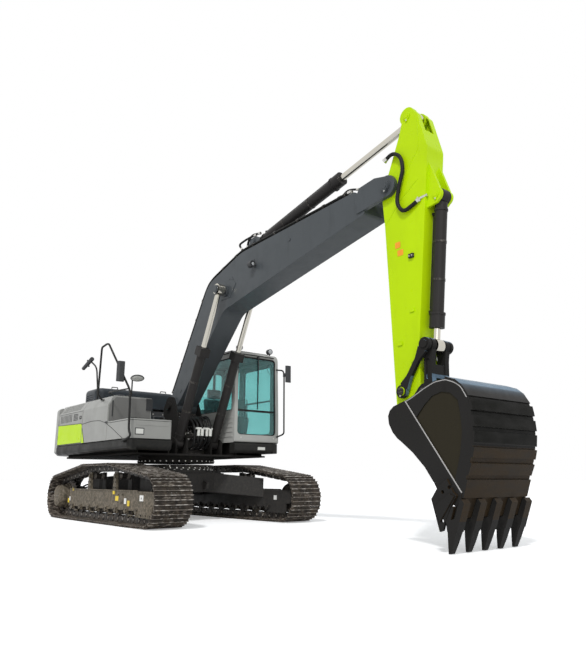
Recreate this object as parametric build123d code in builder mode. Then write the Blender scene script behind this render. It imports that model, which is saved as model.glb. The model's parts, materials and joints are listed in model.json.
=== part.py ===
"""Crawler excavator of the 22 tonne class, as an assembly of separate sub-parts.

Millimetres, +X forward, +Y to the left, +Z up. The drawing coordinates below have their origin on
the slewing axis at ground level. MACHINE_FRAME moves every finished piece so that the written
frame has its origin in the middle of the whole machine's length, on the ground.
"""

import os
from math import asin, atan2, cos, hypot, pi, sin, sqrt

from build123d import *

os.makedirs("parts", exist_ok=True)

# ---- driving dimensions -------------------------------------------------------------------
SLEW_AXIS_TO_ORIGIN = -1993
MACHINE_FRAME = Location((SLEW_AXIS_TO_ORIGIN, 0, 0))

TUMBLER_DISTANCE = 3690
TRACK_GAUGE = 2390
SHOE_WIDTH = 600
SHOE_PITCH = 190
GROUSER_HEIGHT = 26
SHOE_THICKNESS = 14
CHAIN_HEIGHT = 110
WHEEL_HEIGHT = 388
BELT_RADIUS = 352
IDLER_X = TUMBLER_DISTANCE / 2
SPROCKET_X = -TUMBLER_DISTANCE / 2
TRACK_Y = TRACK_GAUGE / 2

DECK_BOTTOM = 1062
SKIRT_BOTTOM = 1125
SKIRT_TOP = 1300
HOUSE_HALF_WIDTH = 1430
HOUSE_TOP = 2045
HOUSE_REAR = -2750

CAB_RIGHT = 500
CAB_LEFT = 1450
CAB_FRONT = 1100
CAB_REAR = -720
CAB_ROOF = 2930

# Pin centres in the machine's middle plane, (x, z).
BOOM_FOOT = (150, 1950)
BOOM_TIP = (5420, 4180)
BOOM_CYLINDER_FOOT = (660, 1270)
BOOM_CYLINDER_EYE = (1840, 3690)
STICK_CYLINDER_FOOT = (2500, 4370)
STICK_CYLINDER_EYE = (5742, 5008)
BUCKET_CYLINDER_FOOT = (6080, 3860)
ROCKER_FOOT = (5540, 1640)
ROCKER_TOP = (5890, 2130)
BUCKET_PIN = (5590, 1260)
BUCKET_LINK_PIN = (5870, 1600)

BOOM_HALF_WIDTH = 200
BOOM_CYLINDER_Y = 338
STICK_HALF_WIDTH = 150
BUCKET_HALF_WIDTH = 535
SIDE_GAP = 8


# ---- shared shaping helpers ---------------------------------------------------------------
def side_plane(y):
    """Upright plane along the machine at y: sketch x runs forward and sketch y runs up."""
    return Plane.XZ.offset(-y)


def cross_plane(x):
    """Upright plane across the machine at x: sketch x runs left and sketch y runs up."""
    return Plane.YZ.offset(x)


def outline(corners):
    """Closed face with rounded corners in the open sketch, from rows of (x, y, radius)."""
    points = [(x, y) for x, y, _ in corners]
    with BuildLine() as edge:
        FilletPolyline(points, radius=[radius for _, _, radius in corners], close=True)
    make_face(edge.edges())


def inset(corners, gap):
    """The same outline moved inwards all round by a gap, as rows of (x, y, radius)."""
    before = [corners[-1], *corners[:-1]]
    after = [*corners[1:], corners[0]]
    area = sum(a[0] * b[1] - b[0] * a[1] for a, b in zip(before, corners))
    hand = 1 if area > 0 else -1
    rows = []
    for (x0, y0, _), (x, y, radius), (x1, y1, _) in zip(before, corners, after):
        into = hypot(x - x0, y - y0)
        out = hypot(x1 - x, y1 - y)
        nx0, ny0 = hand * (y0 - y) / into, hand * (x - x0) / into
        nx1, ny1 = hand * (y - y1) / out, hand * (x1 - x) / out
        reach = gap / (1 + nx0 * nx1 + ny0 * ny1)
        bulges = hand * ((x - x0) * (y1 - y) - (y - y0) * (x1 - x)) > 0
        new_radius = max(radius - gap, 0) if bulges else radius + gap
        rows.append((x + reach * (nx0 + nx1), y + reach * (ny0 + ny1), new_radius))
    return rows


def plate(corners, y_low, y_high, mode=Mode.ADD):
    """Plate between two y values, its side outline given as rows of (x, z, radius)."""
    with BuildSketch(side_plane(y_high)) as face:
        outline(corners)
    extrude(face.sketch, amount=y_high - y_low, mode=mode)


def flat(corners, y_low, y_high, mode=Mode.ADD):
    """Plate between two y values, its straight-sided outline given as rows of (x, z)."""
    with BuildSketch(side_plane(y_high)) as face:
        Polygon(*corners, align=None)
    extrude(face.sketch, amount=y_high - y_low, mode=mode)


def slab(corners, x_low, x_high, mode=Mode.ADD):
    """Body between two x values, its cross section given as rows of (y, z, radius)."""
    with BuildSketch(cross_plane(x_low)) as face:
        outline(corners)
    extrude(face.sketch, amount=x_high - x_low, mode=mode)


def deck(corners, z_low, z_high, mode=Mode.ADD):
    """Body between two heights, its plan given as rows of (x, y, radius)."""
    with BuildSketch(Plane.XY.offset(z_low)) as face:
        outline(corners)
    extrude(face.sketch, amount=z_high - z_low, mode=mode)


def block(x_range, y_range, z_range, mode=Mode.ADD):
    """Rectangular body between two x, two y and two z values."""
    lows, highs = zip(x_range, y_range, z_range)
    centre = [(low + high) / 2 for low, high in zip(lows, highs)]
    with Locations(tuple(centre)):
        Box(*[high - low for low, high in zip(lows, highs)], mode=mode)


def bar(start, end, radius, mode=Mode.ADD):
    """Round bar between two points."""
    axis = Vector(*end) - Vector(*start)
    with BuildSketch(Plane(origin=start, z_dir=axis)) as section:
        Circle(radius)
    extrude(section.sketch, amount=axis.length, mode=mode)


def pin(place, radius, y_low, y_high, mode=Mode.ADD):
    """Round bar or bore across the machine through (x, z), between two y values."""
    x, z = place
    bar((x, y_low, z), (x, y_high, z), radius, mode=mode)


def tube(route, radius, sides=0):
    """Pipe along a route of points, mitred at its corners, round or with flat sides."""
    with BuildLine() as path:
        Polyline(route)
    start = path.line
    with BuildSketch(Plane(origin=start @ 0, z_dir=start % 0)) as section:
        if sides:
            RegularPolygon(radius, sides)
        else:
            Circle(radius)
    sweep(section.sketch, path=path.line, transition=Transition.RIGHT)


def louvres(places, x_size, y_range, z_range):
    """Row of upright slots cut at the given x places."""
    for x in places:
        block((x - x_size / 2, x + x_size / 2), y_range, z_range, Mode.SUBTRACT)


def hinge(x, y, levels, radius, length):
    """Upright hinge knuckles on one axis, at the given levels."""
    for z in levels:
        bar((x, y, z - length / 2), (x, y, z + length / 2), radius)


def turned(place, y_start, outward, steps):
    """Body turned about the cross axis through (x, z), from rows of (radius, from, to)."""
    for radius, near, far in steps:
        ends = sorted((y_start + outward * near, y_start + outward * far))
        pin(place, radius, *ends)


def write(piece, name):
    """Labels a finished piece and writes it in the machine's own frame."""
    piece.label = name
    export_step(piece.moved(MACHINE_FRAME), f"parts/{name}.step")


# ---- tracks: one loop round idler, carrier rollers and sprocket ---------------------------
CARRIER_RADIUS = 55
CARRIER_X = (-550, 500)
CARRIER_HEIGHT = 738
CARRIER_BELT_RADIUS = CARRIER_RADIUS + CHAIN_HEIGHT + 8
ROLLER_RADIUS = 76
ROLLER_HEIGHT = GROUSER_HEIGHT + CHAIN_HEIGHT + ROLLER_RADIUS + 2
ROLLER_COUNT = 8
ROLLER_SPACING = 375
ROLLER_X = [(index - (ROLLER_COUNT - 1) / 2) * ROLLER_SPACING for index in range(ROLLER_COUNT)]
ROLLER_BELT_RADIUS = ROLLER_HEIGHT - GROUSER_HEIGHT
BELT_WHEELS = (  # x, z, radius of the shoe plates' outer face, in running order
    (ROLLER_X[-1], ROLLER_HEIGHT, ROLLER_BELT_RADIUS),
    (IDLER_X, WHEEL_HEIGHT, BELT_RADIUS),
    (CARRIER_X[1], CARRIER_HEIGHT, CARRIER_BELT_RADIUS),
    (CARRIER_X[0], CARRIER_HEIGHT, CARRIER_BELT_RADIUS),
    (SPROCKET_X, WHEEL_HEIGHT, BELT_RADIUS),
    (ROLLER_X[0], ROLLER_HEIGHT, ROLLER_BELT_RADIUS),
)
SHOE_PROFILE = (  # distance along the shoe, height above its plate: three grousers
    (-79, 0), (-74, 26), (-62, 26), (-57, 0),
    (-11, 0), (-6, 26), (6, 26), (11, 0),
    (57, 0), (62, 26), (74, 26), (79, 0),
)
SHOE_INSIDE = ((0, -SHOE_THICKNESS),)
RAIL_INNER, RAIL_OUTER = 45, 95


def belt_stations(wheels):
    """Shoe places round the belt, as (x, z, heading), one shoe pitch apart."""
    legs = []
    for (x1, z1, r1), (x2, z2, r2) in zip(wheels, wheels[1:] + wheels[:1]):
        gap = hypot(x2 - x1, z2 - z1)
        normal = atan2(z2 - z1, x2 - x1) - pi / 2 + asin((r1 - r2) / gap)
        legs.append((normal, sqrt(gap**2 - (r1 - r2) ** 2)))
    spans = []
    for index, (x, z, radius) in enumerate(wheels):
        normal, length = legs[index]
        turn = (normal - legs[index - 1][0]) % (2 * pi)
        spans.append((x, z, radius, normal - turn, radius * turn, turn))
        spans.append((x, z, radius, normal, length, 0))
    total = sum(span[4] for span in spans)
    count = round(total / SHOE_PITCH)
    stations = []
    for shoe in range(count):
        along = (shoe + 0.5) * total / count
        for x, z, radius, normal, length, turn in spans:
            if along <= length:
                break
            along -= length
        angle = normal + (along / radius if turn else 0)
        run = 0 if turn else along
        stations.append(
            (
                x + radius * cos(angle) - run * sin(angle),
                z + radius * sin(angle) + run * cos(angle),
                angle + pi / 2,
            )
        )
    return stations


def belt_points(stations, profile):
    """Points of one repeated profile, carried round the belt's stations."""
    return [
        (x + s * cos(a) + n * sin(a), z + s * sin(a) - n * cos(a))
        for x, z, a in stations
        for s, n in profile
    ]


STATIONS = belt_stations(BELT_WHEELS)
for side, hand in (("left", 1), ("right", -1)):
    middle = hand * TRACK_Y
    with BuildPart() as track:
        with BuildSketch(side_plane(middle + SHOE_WIDTH / 2)) as shoes:
            Polygon(*belt_points(STATIONS, SHOE_PROFILE), align=None)
            Polygon(*belt_points(STATIONS, SHOE_INSIDE), align=None, mode=Mode.SUBTRACT)
        extrude(amount=SHOE_WIDTH)
        for low in (-RAIL_OUTER, RAIL_INNER):
            with BuildSketch(side_plane(middle + low + RAIL_OUTER - RAIL_INNER)) as rail:
                Polygon(*belt_points(STATIONS, ((0, -SHOE_THICKNESS / 2),)), align=None)
                inner = belt_points(STATIONS, ((0, -CHAIN_HEIGHT),))
                Polygon(*inner, align=None, mode=Mode.SUBTRACT)
            extrude(amount=RAIL_OUTER - RAIL_INNER)
    write(track.part, f"track_{side}")


# ---- sprockets with final drives, idlers, rollers ----------------------------------------
SPROCKET_TEETH = 19
SPROCKET_ROOT, SPROCKET_TIP = 232, 285
FINAL_DRIVE_STEPS = ((225, 34, 60), (196, 60, 258))
IDLER_STEPS = ((225, -90, 90), (85, -111, 111))
IDLER_FLANGE = 250

with BuildPart() as sprockets:
    for hand in (1, -1):
        with BuildSketch(side_plane(hand * TRACK_Y + 34)) as wheel:
            with Locations((SPROCKET_X, WHEEL_HEIGHT)):
                Circle(SPROCKET_ROOT)
                with PolarLocations((SPROCKET_ROOT + SPROCKET_TIP) / 2, SPROCKET_TEETH):
                    Rectangle(SPROCKET_TIP - SPROCKET_ROOT + 8, 34)
        extrude(wheel.sketch, amount=68)
        turned((SPROCKET_X, WHEEL_HEIGHT), hand * TRACK_Y, hand, FINAL_DRIVE_STEPS)
        turned((SPROCKET_X, WHEEL_HEIGHT), hand * TRACK_Y, -hand, ((170, 34, 108),))
write(sprockets.part, "sprockets")

with BuildPart() as idlers:
    for hand in (1, -1):
        turned((IDLER_X, WHEEL_HEIGHT), hand * TRACK_Y, hand, IDLER_STEPS)
        turned((IDLER_X, WHEEL_HEIGHT), hand * TRACK_Y, hand, ((IDLER_FLANGE, -40, 40),))
write(idlers.part, "idlers")

ROLLER_REACH = 112
with BuildPart() as track_rollers:
    for hand in (1, -1):
        wheels = [(x, ROLLER_HEIGHT, ROLLER_RADIUS) for x in ROLLER_X]
        wheels += [(x, CARRIER_HEIGHT, CARRIER_RADIUS) for x in CARRIER_X]
        for x, z, radius in wheels:
            turned((x, z), hand * TRACK_Y, hand, ((radius, -ROLLER_REACH, ROLLER_REACH),))
write(track_rollers.part, "track_rollers")


# ---- track frames: box beams, idler forks, roller hangers ---------------------------------
FRAME_HALF_WIDTH = 135
FRAME_WALL = 22
CHEEK_BOTTOM, FRAME_BOTTOM, FRAME_TOP = 225, 300, 520
FRAME_SIDE = (  # x, z, corner radius
    (-1500, CHEEK_BOTTOM, 0), (1180, CHEEK_BOTTOM, 0), (1340, 290, 0), (1340, 505, 20),
    (-1480, FRAME_TOP, 0),
)
FORK_SIDE = ((1300, 262, 0), (1960, 300, 40), (1960, 505, 40), (1300, 510, 0))
DRIVE_ARM = (  # x, z, corner radius
    (-1560, 255, 0), (-1480, 262, 0), (-1480, 520, 0), (-1560, 560, 0),
    (-1900, 560, 120), (-1900, 210, 120),
)
HANGER_SIDE = ((-62, -40), (62, -40), (70, 60), (-70, 60))
CARRIER_POST = ((-75, 515), (75, 515), (50, 800), (-50, 800))
ROLLER_GUARD = ((1290, 275), (1290, 142), (1790, 132), (1830, 168), (1830, 310))
TIE_DOWN = (1480, 385)
TIE_DOWN_BORE = 32
LIGHTENING_SLOTS = (-1120, -370, 370, 1080)
for side, hand in (("left", 1), ("right", -1)):
    middle = hand * TRACK_Y
    cheeks = [sorted((middle + s * 113, middle + s * FRAME_HALF_WIDTH)) for s in (1, -1)]
    with BuildPart() as track_frame:
        plate(FRAME_SIDE, middle - FRAME_HALF_WIDTH, middle + FRAME_HALF_WIDTH)
        inside = FRAME_HALF_WIDTH - FRAME_WALL
        inside_y = (middle - inside, middle + inside)
        block((-1600, 1400), inside_y, (CHEEK_BOTTOM - 5, FRAME_BOTTOM), Mode.SUBTRACT)
        block((-1440, 1280), inside_y, (FRAME_BOTTOM + 18, 498), Mode.SUBTRACT)
        for low, high in cheeks:
            plate(FORK_SIDE, low, high)
            flat(ROLLER_GUARD, low, high)
            for x in ROLLER_X:
                flat([(x + dx, ROLLER_HEIGHT + dz) for dx, dz in HANGER_SIDE], low, high)
            for x in CARRIER_X:
                flat([(x + dx, z) for dx, z in CARRIER_POST], low, high)
        outer_side = sorted((middle + hand * 108, middle + hand * (FRAME_HALF_WIDTH + 5)))
        pin(TIE_DOWN, TIE_DOWN_BORE, *outer_side, Mode.SUBTRACT)
        drive_side = sorted((middle - hand * 113, middle - hand * (FRAME_HALF_WIDTH + 20)))
        plate(DRIVE_ARM, *drive_side)
    write(track_frame.part, f"track_frame_{side}")


# ---- car body: centre box, four legs, ring seat -------------------------------------------
RING_SEAT_TOP = 850
FRAME_INNER_Y = TRACK_Y - FRAME_HALF_WIDTH
LEG_ENDS = (  # distance out in y, centre x, half length in x, low z, high z
    (420, 330, 260, 470, 790),
    (FRAME_INNER_Y, 1010, 190, 385, 700),
)

TOW_LUG_Y = (210, 250)

with BuildPart() as car_body:
    block((-600, 600), (-560, 560), (470, 800))
    with Locations((0, 0, (800 + RING_SEAT_TOP) / 2)):
        Cylinder(640, RING_SEAT_TOP - 800)
    for along in (1, -1):
        for hand in (1, -1):
            ends = []
            for y, x, half, low, high in LEG_ENDS:
                with BuildSketch(side_plane(hand * y)) as end:
                    with Locations((along * x, (low + high) / 2)):
                        Rectangle(2 * half, high - low)
                ends.append(end.sketch)
            loft(ends)
    with Locations((0, 0, 640)):
        Cylinder(430, 500, mode=Mode.SUBTRACT)
    for along in (1, -1):
        for hand in (1, -1):
            lug = ((590, 500), (725, 530), (725, 630), (590, 660))
            flat([(along * x, z) for x, z in lug], *sorted(hand * y for y in TOW_LUG_Y))
write(car_body.part, "car_body")

with BuildPart() as slew_ring:
    with Locations((0, 0, 888)):
        Cylinder(655, 76)
        Cylinder(500, 76, mode=Mode.SUBTRACT)
write(slew_ring.part, "slew_ring")


# ---- main frame of the house --------------------------------------------------------------
BRACKET_INNER, BRACKET_OUTER = 216, 250
LUG_INNER, LUG_OUTER = 424, 454
BRACKET_SIDE = (  # x, z, corner radius
    (-1100, 1090, 0), (800, 1090, 0), (800, 1330, 60), (560, 1500, 120), (330, 1960, 0),
    (240, 2110, 80), (50, 2110, 80), (-160, 1800, 200), (-700, 1420, 0), (-1100, 1330, 0),
)
LUG_SIDE = ((520, 1090, 0), (800, 1090, 0), (800, 1330, 80), (560, 1400, 80))

with BuildPart() as main_frame:
    with Locations((0, 0, 1011)):
        Cylinder(670, 110)
        Cylinder(500, 110, mode=Mode.SUBTRACT)
    deck(((-2090, -1285, 200), (950, -1285, 40), (950, 1285, 40), (-2090, 1285, 200)),
         DECK_BOTTOM, DECK_BOTTOM + 28)
    for hand in (1, -1):
        plate(BRACKET_SIDE, *sorted((hand * BRACKET_INNER, hand * BRACKET_OUTER)))
        plate(LUG_SIDE, *sorted((hand * LUG_INNER, hand * LUG_OUTER)))
        block((-2080, 940), sorted((hand * 1180, hand * 1200)), (1090, SKIRT_TOP))
        block((-2080, 940), sorted((hand * 640, hand * 660)), (1090, SKIRT_TOP))
        deck_y = sorted((hand * 640, hand * 1284))
        block((-2080, 940), deck_y, (SKIRT_TOP - 12, SKIRT_TOP))
        pin(BOOM_FOOT, 62, *sorted((hand * 215, hand * 300)))
        pin(BOOM_CYLINDER_FOOT, 45, *sorted((hand * LUG_OUTER, hand * (LUG_OUTER + 25))))
    pin(BOOM_FOOT, 55, -230, 230)
    for hand in (1, -1):
        pin(BOOM_CYLINDER_FOOT, 42, *sorted((hand * 230, hand * (LUG_OUTER + 5))))
write(main_frame.part, "main_frame")


# ---- skirts along the deck edge -----------------------------------------------------------
SKIRT_DEPTH = 140
SKIRT_PLANS = (  # name, inner y of the front beam, outer y, front x
    ("right", -700, -HOUSE_HALF_WIDTH - 5, 1120),
    ("left", 500, 1455, 1120),
)
with BuildPart() as deck_skirts:
    for _, inner, outer, front in SKIRT_PLANS:
        hand = 1 if outer > 0 else -1
        edge = outer - hand * SKIRT_DEPTH
        top = SKIRT_TOP - 2
        slab(((edge, SKIRT_BOTTOM, 0), (outer, SKIRT_BOTTOM, 70), (outer, top, 40),
              (edge, top, 0)), -2100, front)
        plate(((960, SKIRT_BOTTOM, 0), (front, SKIRT_BOTTOM, 70), (front, top, 40),
               (960, top, 0)), *sorted((inner, outer - hand * 70)))
    deck(((-2100, -1435, 0), (1120, -1435, 90), (1120, 1455, 90), (-2100, 1455, 0)),
         SKIRT_BOTTOM, SKIRT_TOP, Mode.INTERSECT)
write(deck_skirts.part, "deck_skirts")


# ---- counterweight ------------------------------------------------------------------------
with BuildPart() as counterweight:
    deck(((-2105, -HOUSE_HALF_WIDTH, 0), (-2105, HOUSE_HALF_WIDTH, 0),
          (HOUSE_REAR, HOUSE_HALF_WIDTH, 620), (HOUSE_REAR, -HOUSE_HALF_WIDTH, 620)),
         SKIRT_BOTTOM, HOUSE_TOP - 25)
    top = counterweight.faces().sort_by(Axis.Z)[-1]
    fillet(top.edges().filter_by(lambda e: e.center().X < -2110), 70)
    low = counterweight.faces().sort_by(Axis.Z)[0]
    chamfer(low.edges().filter_by(lambda e: e.center().X < -2110), 60)
    block((-2500, -2100), (-900, 900), (1180, 1900), Mode.SUBTRACT)
write(counterweight.part, "counterweight")


# ---- side housings: fuel tank, pump bay, cooler bay ---------------------------------------
KNEE_HEIGHT = 1880
SLOPE_INSET = 100
BAY_WALL = 25
DOOR_THICKNESS = 30
DOOR_GAP = 6
BAY_REAR, BAY_FRONT = -2095, -860
DOOR_LOW, DOOR_HIGH = SKIRT_TOP + 14, KNEE_HEIGHT - 12
DOOR_AXIS_X, DOOR_AXIS_INSET = -2092, 6
GRILLE_BAR, GRILLE_PITCH = 34, 66


def housing_section(hand, inner):
    """Cross section of a side housing: upright side, knee, slope and flat top."""
    outer = hand * HOUSE_HALF_WIDTH
    return (
        (hand * inner, SKIRT_TOP, 0), (outer, SKIRT_TOP, 0), (outer, KNEE_HEIGHT, 25),
        (hand * (HOUSE_HALF_WIDTH - SLOPE_INSET), HOUSE_TOP, 25), (hand * inner, HOUSE_TOP, 0),
    )


def slope_grille(hand, x_first, x_last):
    """Pocket along a housing's slope, its bars left standing across it."""
    low, high = (HOUSE_HALF_WIDTH - 12, KNEE_HEIGHT + 22), (HOUSE_HALF_WIDTH - 88, HOUSE_TOP - 22)
    deep = ((low[0] - 26, low[1] - 15), (high[0] - 26, high[1] - 15))
    out = ((high[0] + 26, high[1] + 15), (low[0] + 26, low[1] + 15))
    corners = [(hand * y, z) for y, z in (low, *deep, high, *out)]
    x = x_first
    while x < x_last:
        with BuildSketch(cross_plane(x)) as slot:
            Polygon(*corners, align=None)
        extrude(slot.sketch, amount=GRILLE_BAR, mode=Mode.SUBTRACT)
        x += GRILLE_PITCH


with BuildPart() as fuel_tank:
    slab(housing_section(-1, 650), -850, 240)
    block((-825, 215), (-HOUSE_HALF_WIDTH + BAY_WALL, -650 - BAY_WALL), (SKIRT_TOP, 1850),
          Mode.SUBTRACT)
    bar((-140, -1060, HOUSE_TOP - 5), (-140, -1060, HOUSE_TOP + 42), 62)
write(fuel_tank.part, "fuel_tank")

BAYS = (  # name, door name, side, inner y, front x
    ("pump_bay", "pump_door", -1, 600, BAY_FRONT),
    ("cooler_bay", "cooler_door", 1, 600, -780),
)
DOOR_SLOTS = (  # door name, first slot x, slot count, slot width, low z, high z
    ("pump_door", -1965, 9, 34, 1712, 1848),
    ("cooler_door", -1900, 14, 38, 1420, 1790),
)
VENT_X, VENT_LEVELS = (-1320, -1090), (1722, 1747, 1772, 1797, 1822)
for bay_name, door_name, hand, inner, front in BAYS:
    recess = DOOR_THICKNESS + DOOR_GAP
    with BuildPart() as bay:
        slab(housing_section(hand, inner), BAY_REAR, front)
        hollow_y = sorted((hand * (inner + BAY_WALL), hand * (HOUSE_HALF_WIDTH - recess - 12)))
        block((BAY_REAR + BAY_WALL, front - BAY_WALL), hollow_y, (SKIRT_TOP, 1840), Mode.SUBTRACT)
        mouth_y = sorted((hand * (HOUSE_HALF_WIDTH - recess), hand * (HOUSE_HALF_WIDTH + 5)))
        block((BAY_REAR - 5, front - DOOR_GAP), mouth_y, (SKIRT_TOP - 5, KNEE_HEIGHT - 6),
              Mode.SUBTRACT)
        hole_y = sorted((hand * (HOUSE_HALF_WIDTH - 80), hand * HOUSE_HALF_WIDTH))
        block((BAY_REAR + 80, front - 80), hole_y, (SKIRT_TOP + 60, 1800), Mode.SUBTRACT)
        slope_grille(hand, -1930, -1060)
    write(bay.part, bay_name)
    with BuildPart() as door:
        door_y = sorted((hand * (HOUSE_HALF_WIDTH - DOOR_THICKNESS), hand * HOUSE_HALF_WIDTH))
        block((DOOR_AXIS_X, front - 12), door_y, (DOOR_LOW, DOOR_HIGH))
        for name, first, count, width, low, high in DOOR_SLOTS:
            if name == door_name:
                places = [first + index * 2 * width for index in range(count)]
                louvres(places, width, sorted((hand * (HOUSE_HALF_WIDTH - 18),
                                               hand * (HOUSE_HALF_WIDTH + 5))), (low, high))
        if door_name == "pump_door":
            for low in VENT_LEVELS:
                block(VENT_X, (-HOUSE_HALF_WIDTH - 5, -HOUSE_HALF_WIDTH + 18), (low, low + 14),
                      Mode.SUBTRACT)
        hinge(DOOR_AXIS_X, hand * (HOUSE_HALF_WIDTH + DOOR_AXIS_INSET), (1450, 1740), 9, 90)
    write(door.part, door_name)


# ---- tool box in front of the tank --------------------------------------------------------
TOOL_BOX_REAR, TOOL_BOX_FRONT = 250, 1120
TOOL_BOX_INNER = -700
TOOL_BOX_TOP = 1575
LID_TOP = 1604

with BuildPart() as tool_box:
    plan = ((TOOL_BOX_REAR, -HOUSE_HALF_WIDTH, 0), (TOOL_BOX_FRONT, -HOUSE_HALF_WIDTH, 90),
            (TOOL_BOX_FRONT, TOOL_BOX_INNER, 40), (TOOL_BOX_REAR, TOOL_BOX_INNER, 0))
    deck(plan, SKIRT_TOP, TOOL_BOX_TOP)
    block((TOOL_BOX_REAR + 20, TOOL_BOX_FRONT - 40),
          (-HOUSE_HALF_WIDTH + 25, TOOL_BOX_INNER - 20), (SKIRT_TOP + 15, 1700), Mode.SUBTRACT)
write(tool_box.part, "tool_box")

with BuildPart() as tool_box_lid:
    deck(((TOOL_BOX_REAR + 40, -HOUSE_HALF_WIDTH, 0), (TOOL_BOX_FRONT, -HOUSE_HALF_WIDTH, 90),
          (TOOL_BOX_FRONT, TOOL_BOX_INNER, 40), (TOOL_BOX_REAR + 40, TOOL_BOX_INNER, 0)),
         TOOL_BOX_TOP + 6, LID_TOP)
    for y in (-1250, -880):
        bar((TOOL_BOX_REAR + 35, y - 45, LID_TOP + 2), (TOOL_BOX_REAR + 35, y + 45, LID_TOP + 2), 9)
write(tool_box_lid.part, "tool_box_lid")


# ---- engine bay ---------------------------------------------------------------------------
HOOD_FRONT, HOOD_REAR = -1400, -2085
HOOD_TOP = 2400
HOOD_RIGHT, HOOD_LEFT = -980, 720
HOOD_WALL = 18

with BuildPart() as engine_hood:
    deck(((HOOD_REAR, HOOD_RIGHT, 120), (HOOD_FRONT, HOOD_RIGHT, 160),
          (HOOD_FRONT, HOOD_LEFT, 160), (HOOD_REAR, HOOD_LEFT, 120)), HOUSE_TOP + 10, HOOD_TOP)
    fillet(engine_hood.faces().sort_by(Axis.Z)[-1].edges(), 85)
    block((HOOD_REAR + 40, HOOD_FRONT - 55), (HOOD_RIGHT + 55, HOOD_LEFT - 55),
          (HOUSE_TOP, HOOD_TOP - 90), Mode.SUBTRACT)
    for side_y, into in ((HOOD_RIGHT, 1), (HOOD_LEFT, -1)):
        slot_y = sorted((side_y - into * 5, side_y + into * 14))
        for index in range(5):
            low = 2105 + index * 38
            block((-1930, -1590), slot_y, (low, low + 18), Mode.SUBTRACT)
    for y in (-700, 440):
        bar((HOOD_REAR, y - 60, HOUSE_TOP + 10), (HOOD_REAR, y + 60, HOUSE_TOP + 10), 9)
write(engine_hood.part, "engine_hood")

with BuildPart() as engine_block:
    block((-1980, -1505), (-560, 420), (1310, 2170))
write(engine_block.part, "engine_block")

with BuildPart() as cooling_pack:
    block((-2040, -1000), (640, 780), (1310, 1830))
write(cooling_pack.part, "cooling_pack")

with BuildPart() as valve_cover:
    deck(((-1385, -590, 40), (-480, -590, 40), (-480, -280, 40), (-620, 280, 40),
          (-620, 480, 40), (-1385, 480, 40)), SKIRT_TOP + 2, 1860)
    block((-1360, -645), (-565, 455), (SKIRT_TOP, 1830), Mode.SUBTRACT)
    for hand in (1, -1):
        slot_y = sorted((hand * (BRACKET_INNER - 8), hand * (BRACKET_OUTER + 8)))
        block((-700, -400), slot_y, (SKIRT_TOP, 1620), Mode.SUBTRACT)
write(valve_cover.part, "valve_cover")

with BuildPart() as swing_motor:
    with Locations((-250, 0, 1300)):
        Cylinder(150, 400)
    with Locations((-250, 0, 1550)):
        Cylinder(95, 110)
write(swing_motor.part, "swing_motor")

VALVE_PORT_Y = (-150, -90, -30, 30, 90, 150)
with BuildPart() as control_valve:
    block((330, 620), (-200, 200), (1100, 1420))
    for y in VALVE_PORT_Y:
        block((620, 655), (y - 18, y + 18), (1180, 1216))
        block((620, 655), (y - 18, y + 18), (1330, 1366))
write(control_valve.part, "control_valve")


# ---- handrails and mirrors ----------------------------------------------------------------
RAIL_RADIUS = 17
RAIL_Y = -1465
with BuildPart() as deck_handrail:
    block((955, 1025), (RAIL_Y - 5, -1435), (1235, 1295))
    tube(((1000, RAIL_Y, 1268), (1150, RAIL_Y, 1290), (1255, RAIL_Y, 1325), (1180, RAIL_Y, 1412),
          (1158, RAIL_Y, 1990), (1095, RAIL_Y, 2070), (200, RAIL_Y, 2905), (150, RAIL_Y, 2922),
          (-82, RAIL_Y, 2900), (-105, RAIL_Y, 2860), (-140, RAIL_Y, 2085), (-140, -1385, 1995)),
         RAIL_RADIUS)
    tube(((1110, RAIL_Y, 2052), (310, RAIL_Y, 2078), (215, -1343, HOUSE_TOP + 4)), 12)
write(deck_handrail.part, "deck_handrail")

MIRROR_PLAN = ((930, -1615), (985, -1600), (985, -1500), (930, -1485), (910, -1500), (910, -1600))
with BuildPart() as deck_mirrors:
    with BuildSketch(Plane.XY.offset(2175)) as mirror:
        Polygon(*MIRROR_PLAN, align=None)
    extrude(mirror.sketch, amount=320)
    bar((918, -1500, 2240), (918, RAIL_Y - RAIL_RADIUS, 2240), 12)
write(deck_mirrors.part, "deck_mirrors")


# ---- cab ----------------------------------------------------------------------------------
CAB_WALL = 50
CAB_SIDE = (  # x, z, corner radius
    (CAB_REAR, SKIRT_TOP + 4, 0), (CAB_FRONT, SKIRT_TOP + 4, 40), (CAB_FRONT, 1800, 200),
    (CAB_FRONT - 30, CAB_ROOF, 130), (CAB_REAR, CAB_ROOF, 110),
)
CAB_ROOM = (  # x, z, corner radius
    (CAB_REAR + 50, 1350, 0), (CAB_FRONT - 60, 1350, 20), (CAB_FRONT - 60, 1800, 100),
    (CAB_FRONT - 90, CAB_ROOF - 60, 100), (CAB_REAR + 50, CAB_ROOF - 60, 80),
)
DOOR_OPENING = ((-60, 1335, 60), (985, 1335, 60), (985, 2810, 90), (-60, 2810, 90))
REAR_QUARTER = ((-660, 1900, 60), (-120, 1900, 60), (-120, 2790, 60), (-660, 2790, 60))
RIGHT_WINDOW = ((-640, 1860, 60), (1000, 1860, 60), (980, 2800, 80), (-640, 2800, 80))
FRONT_WINDOW = ((560, 1440, 70), (1395, 1440, 70), (1380, 2820, 90), (575, 2820, 90))
CAB_RIB_LEVELS = (1400, 1480, 1560, 1640, 1720)
REAR_WINDOW = ((580, 2000, 60), (1370, 2000, 60), (1370, 2780, 60), (580, 2780, 60))

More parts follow.
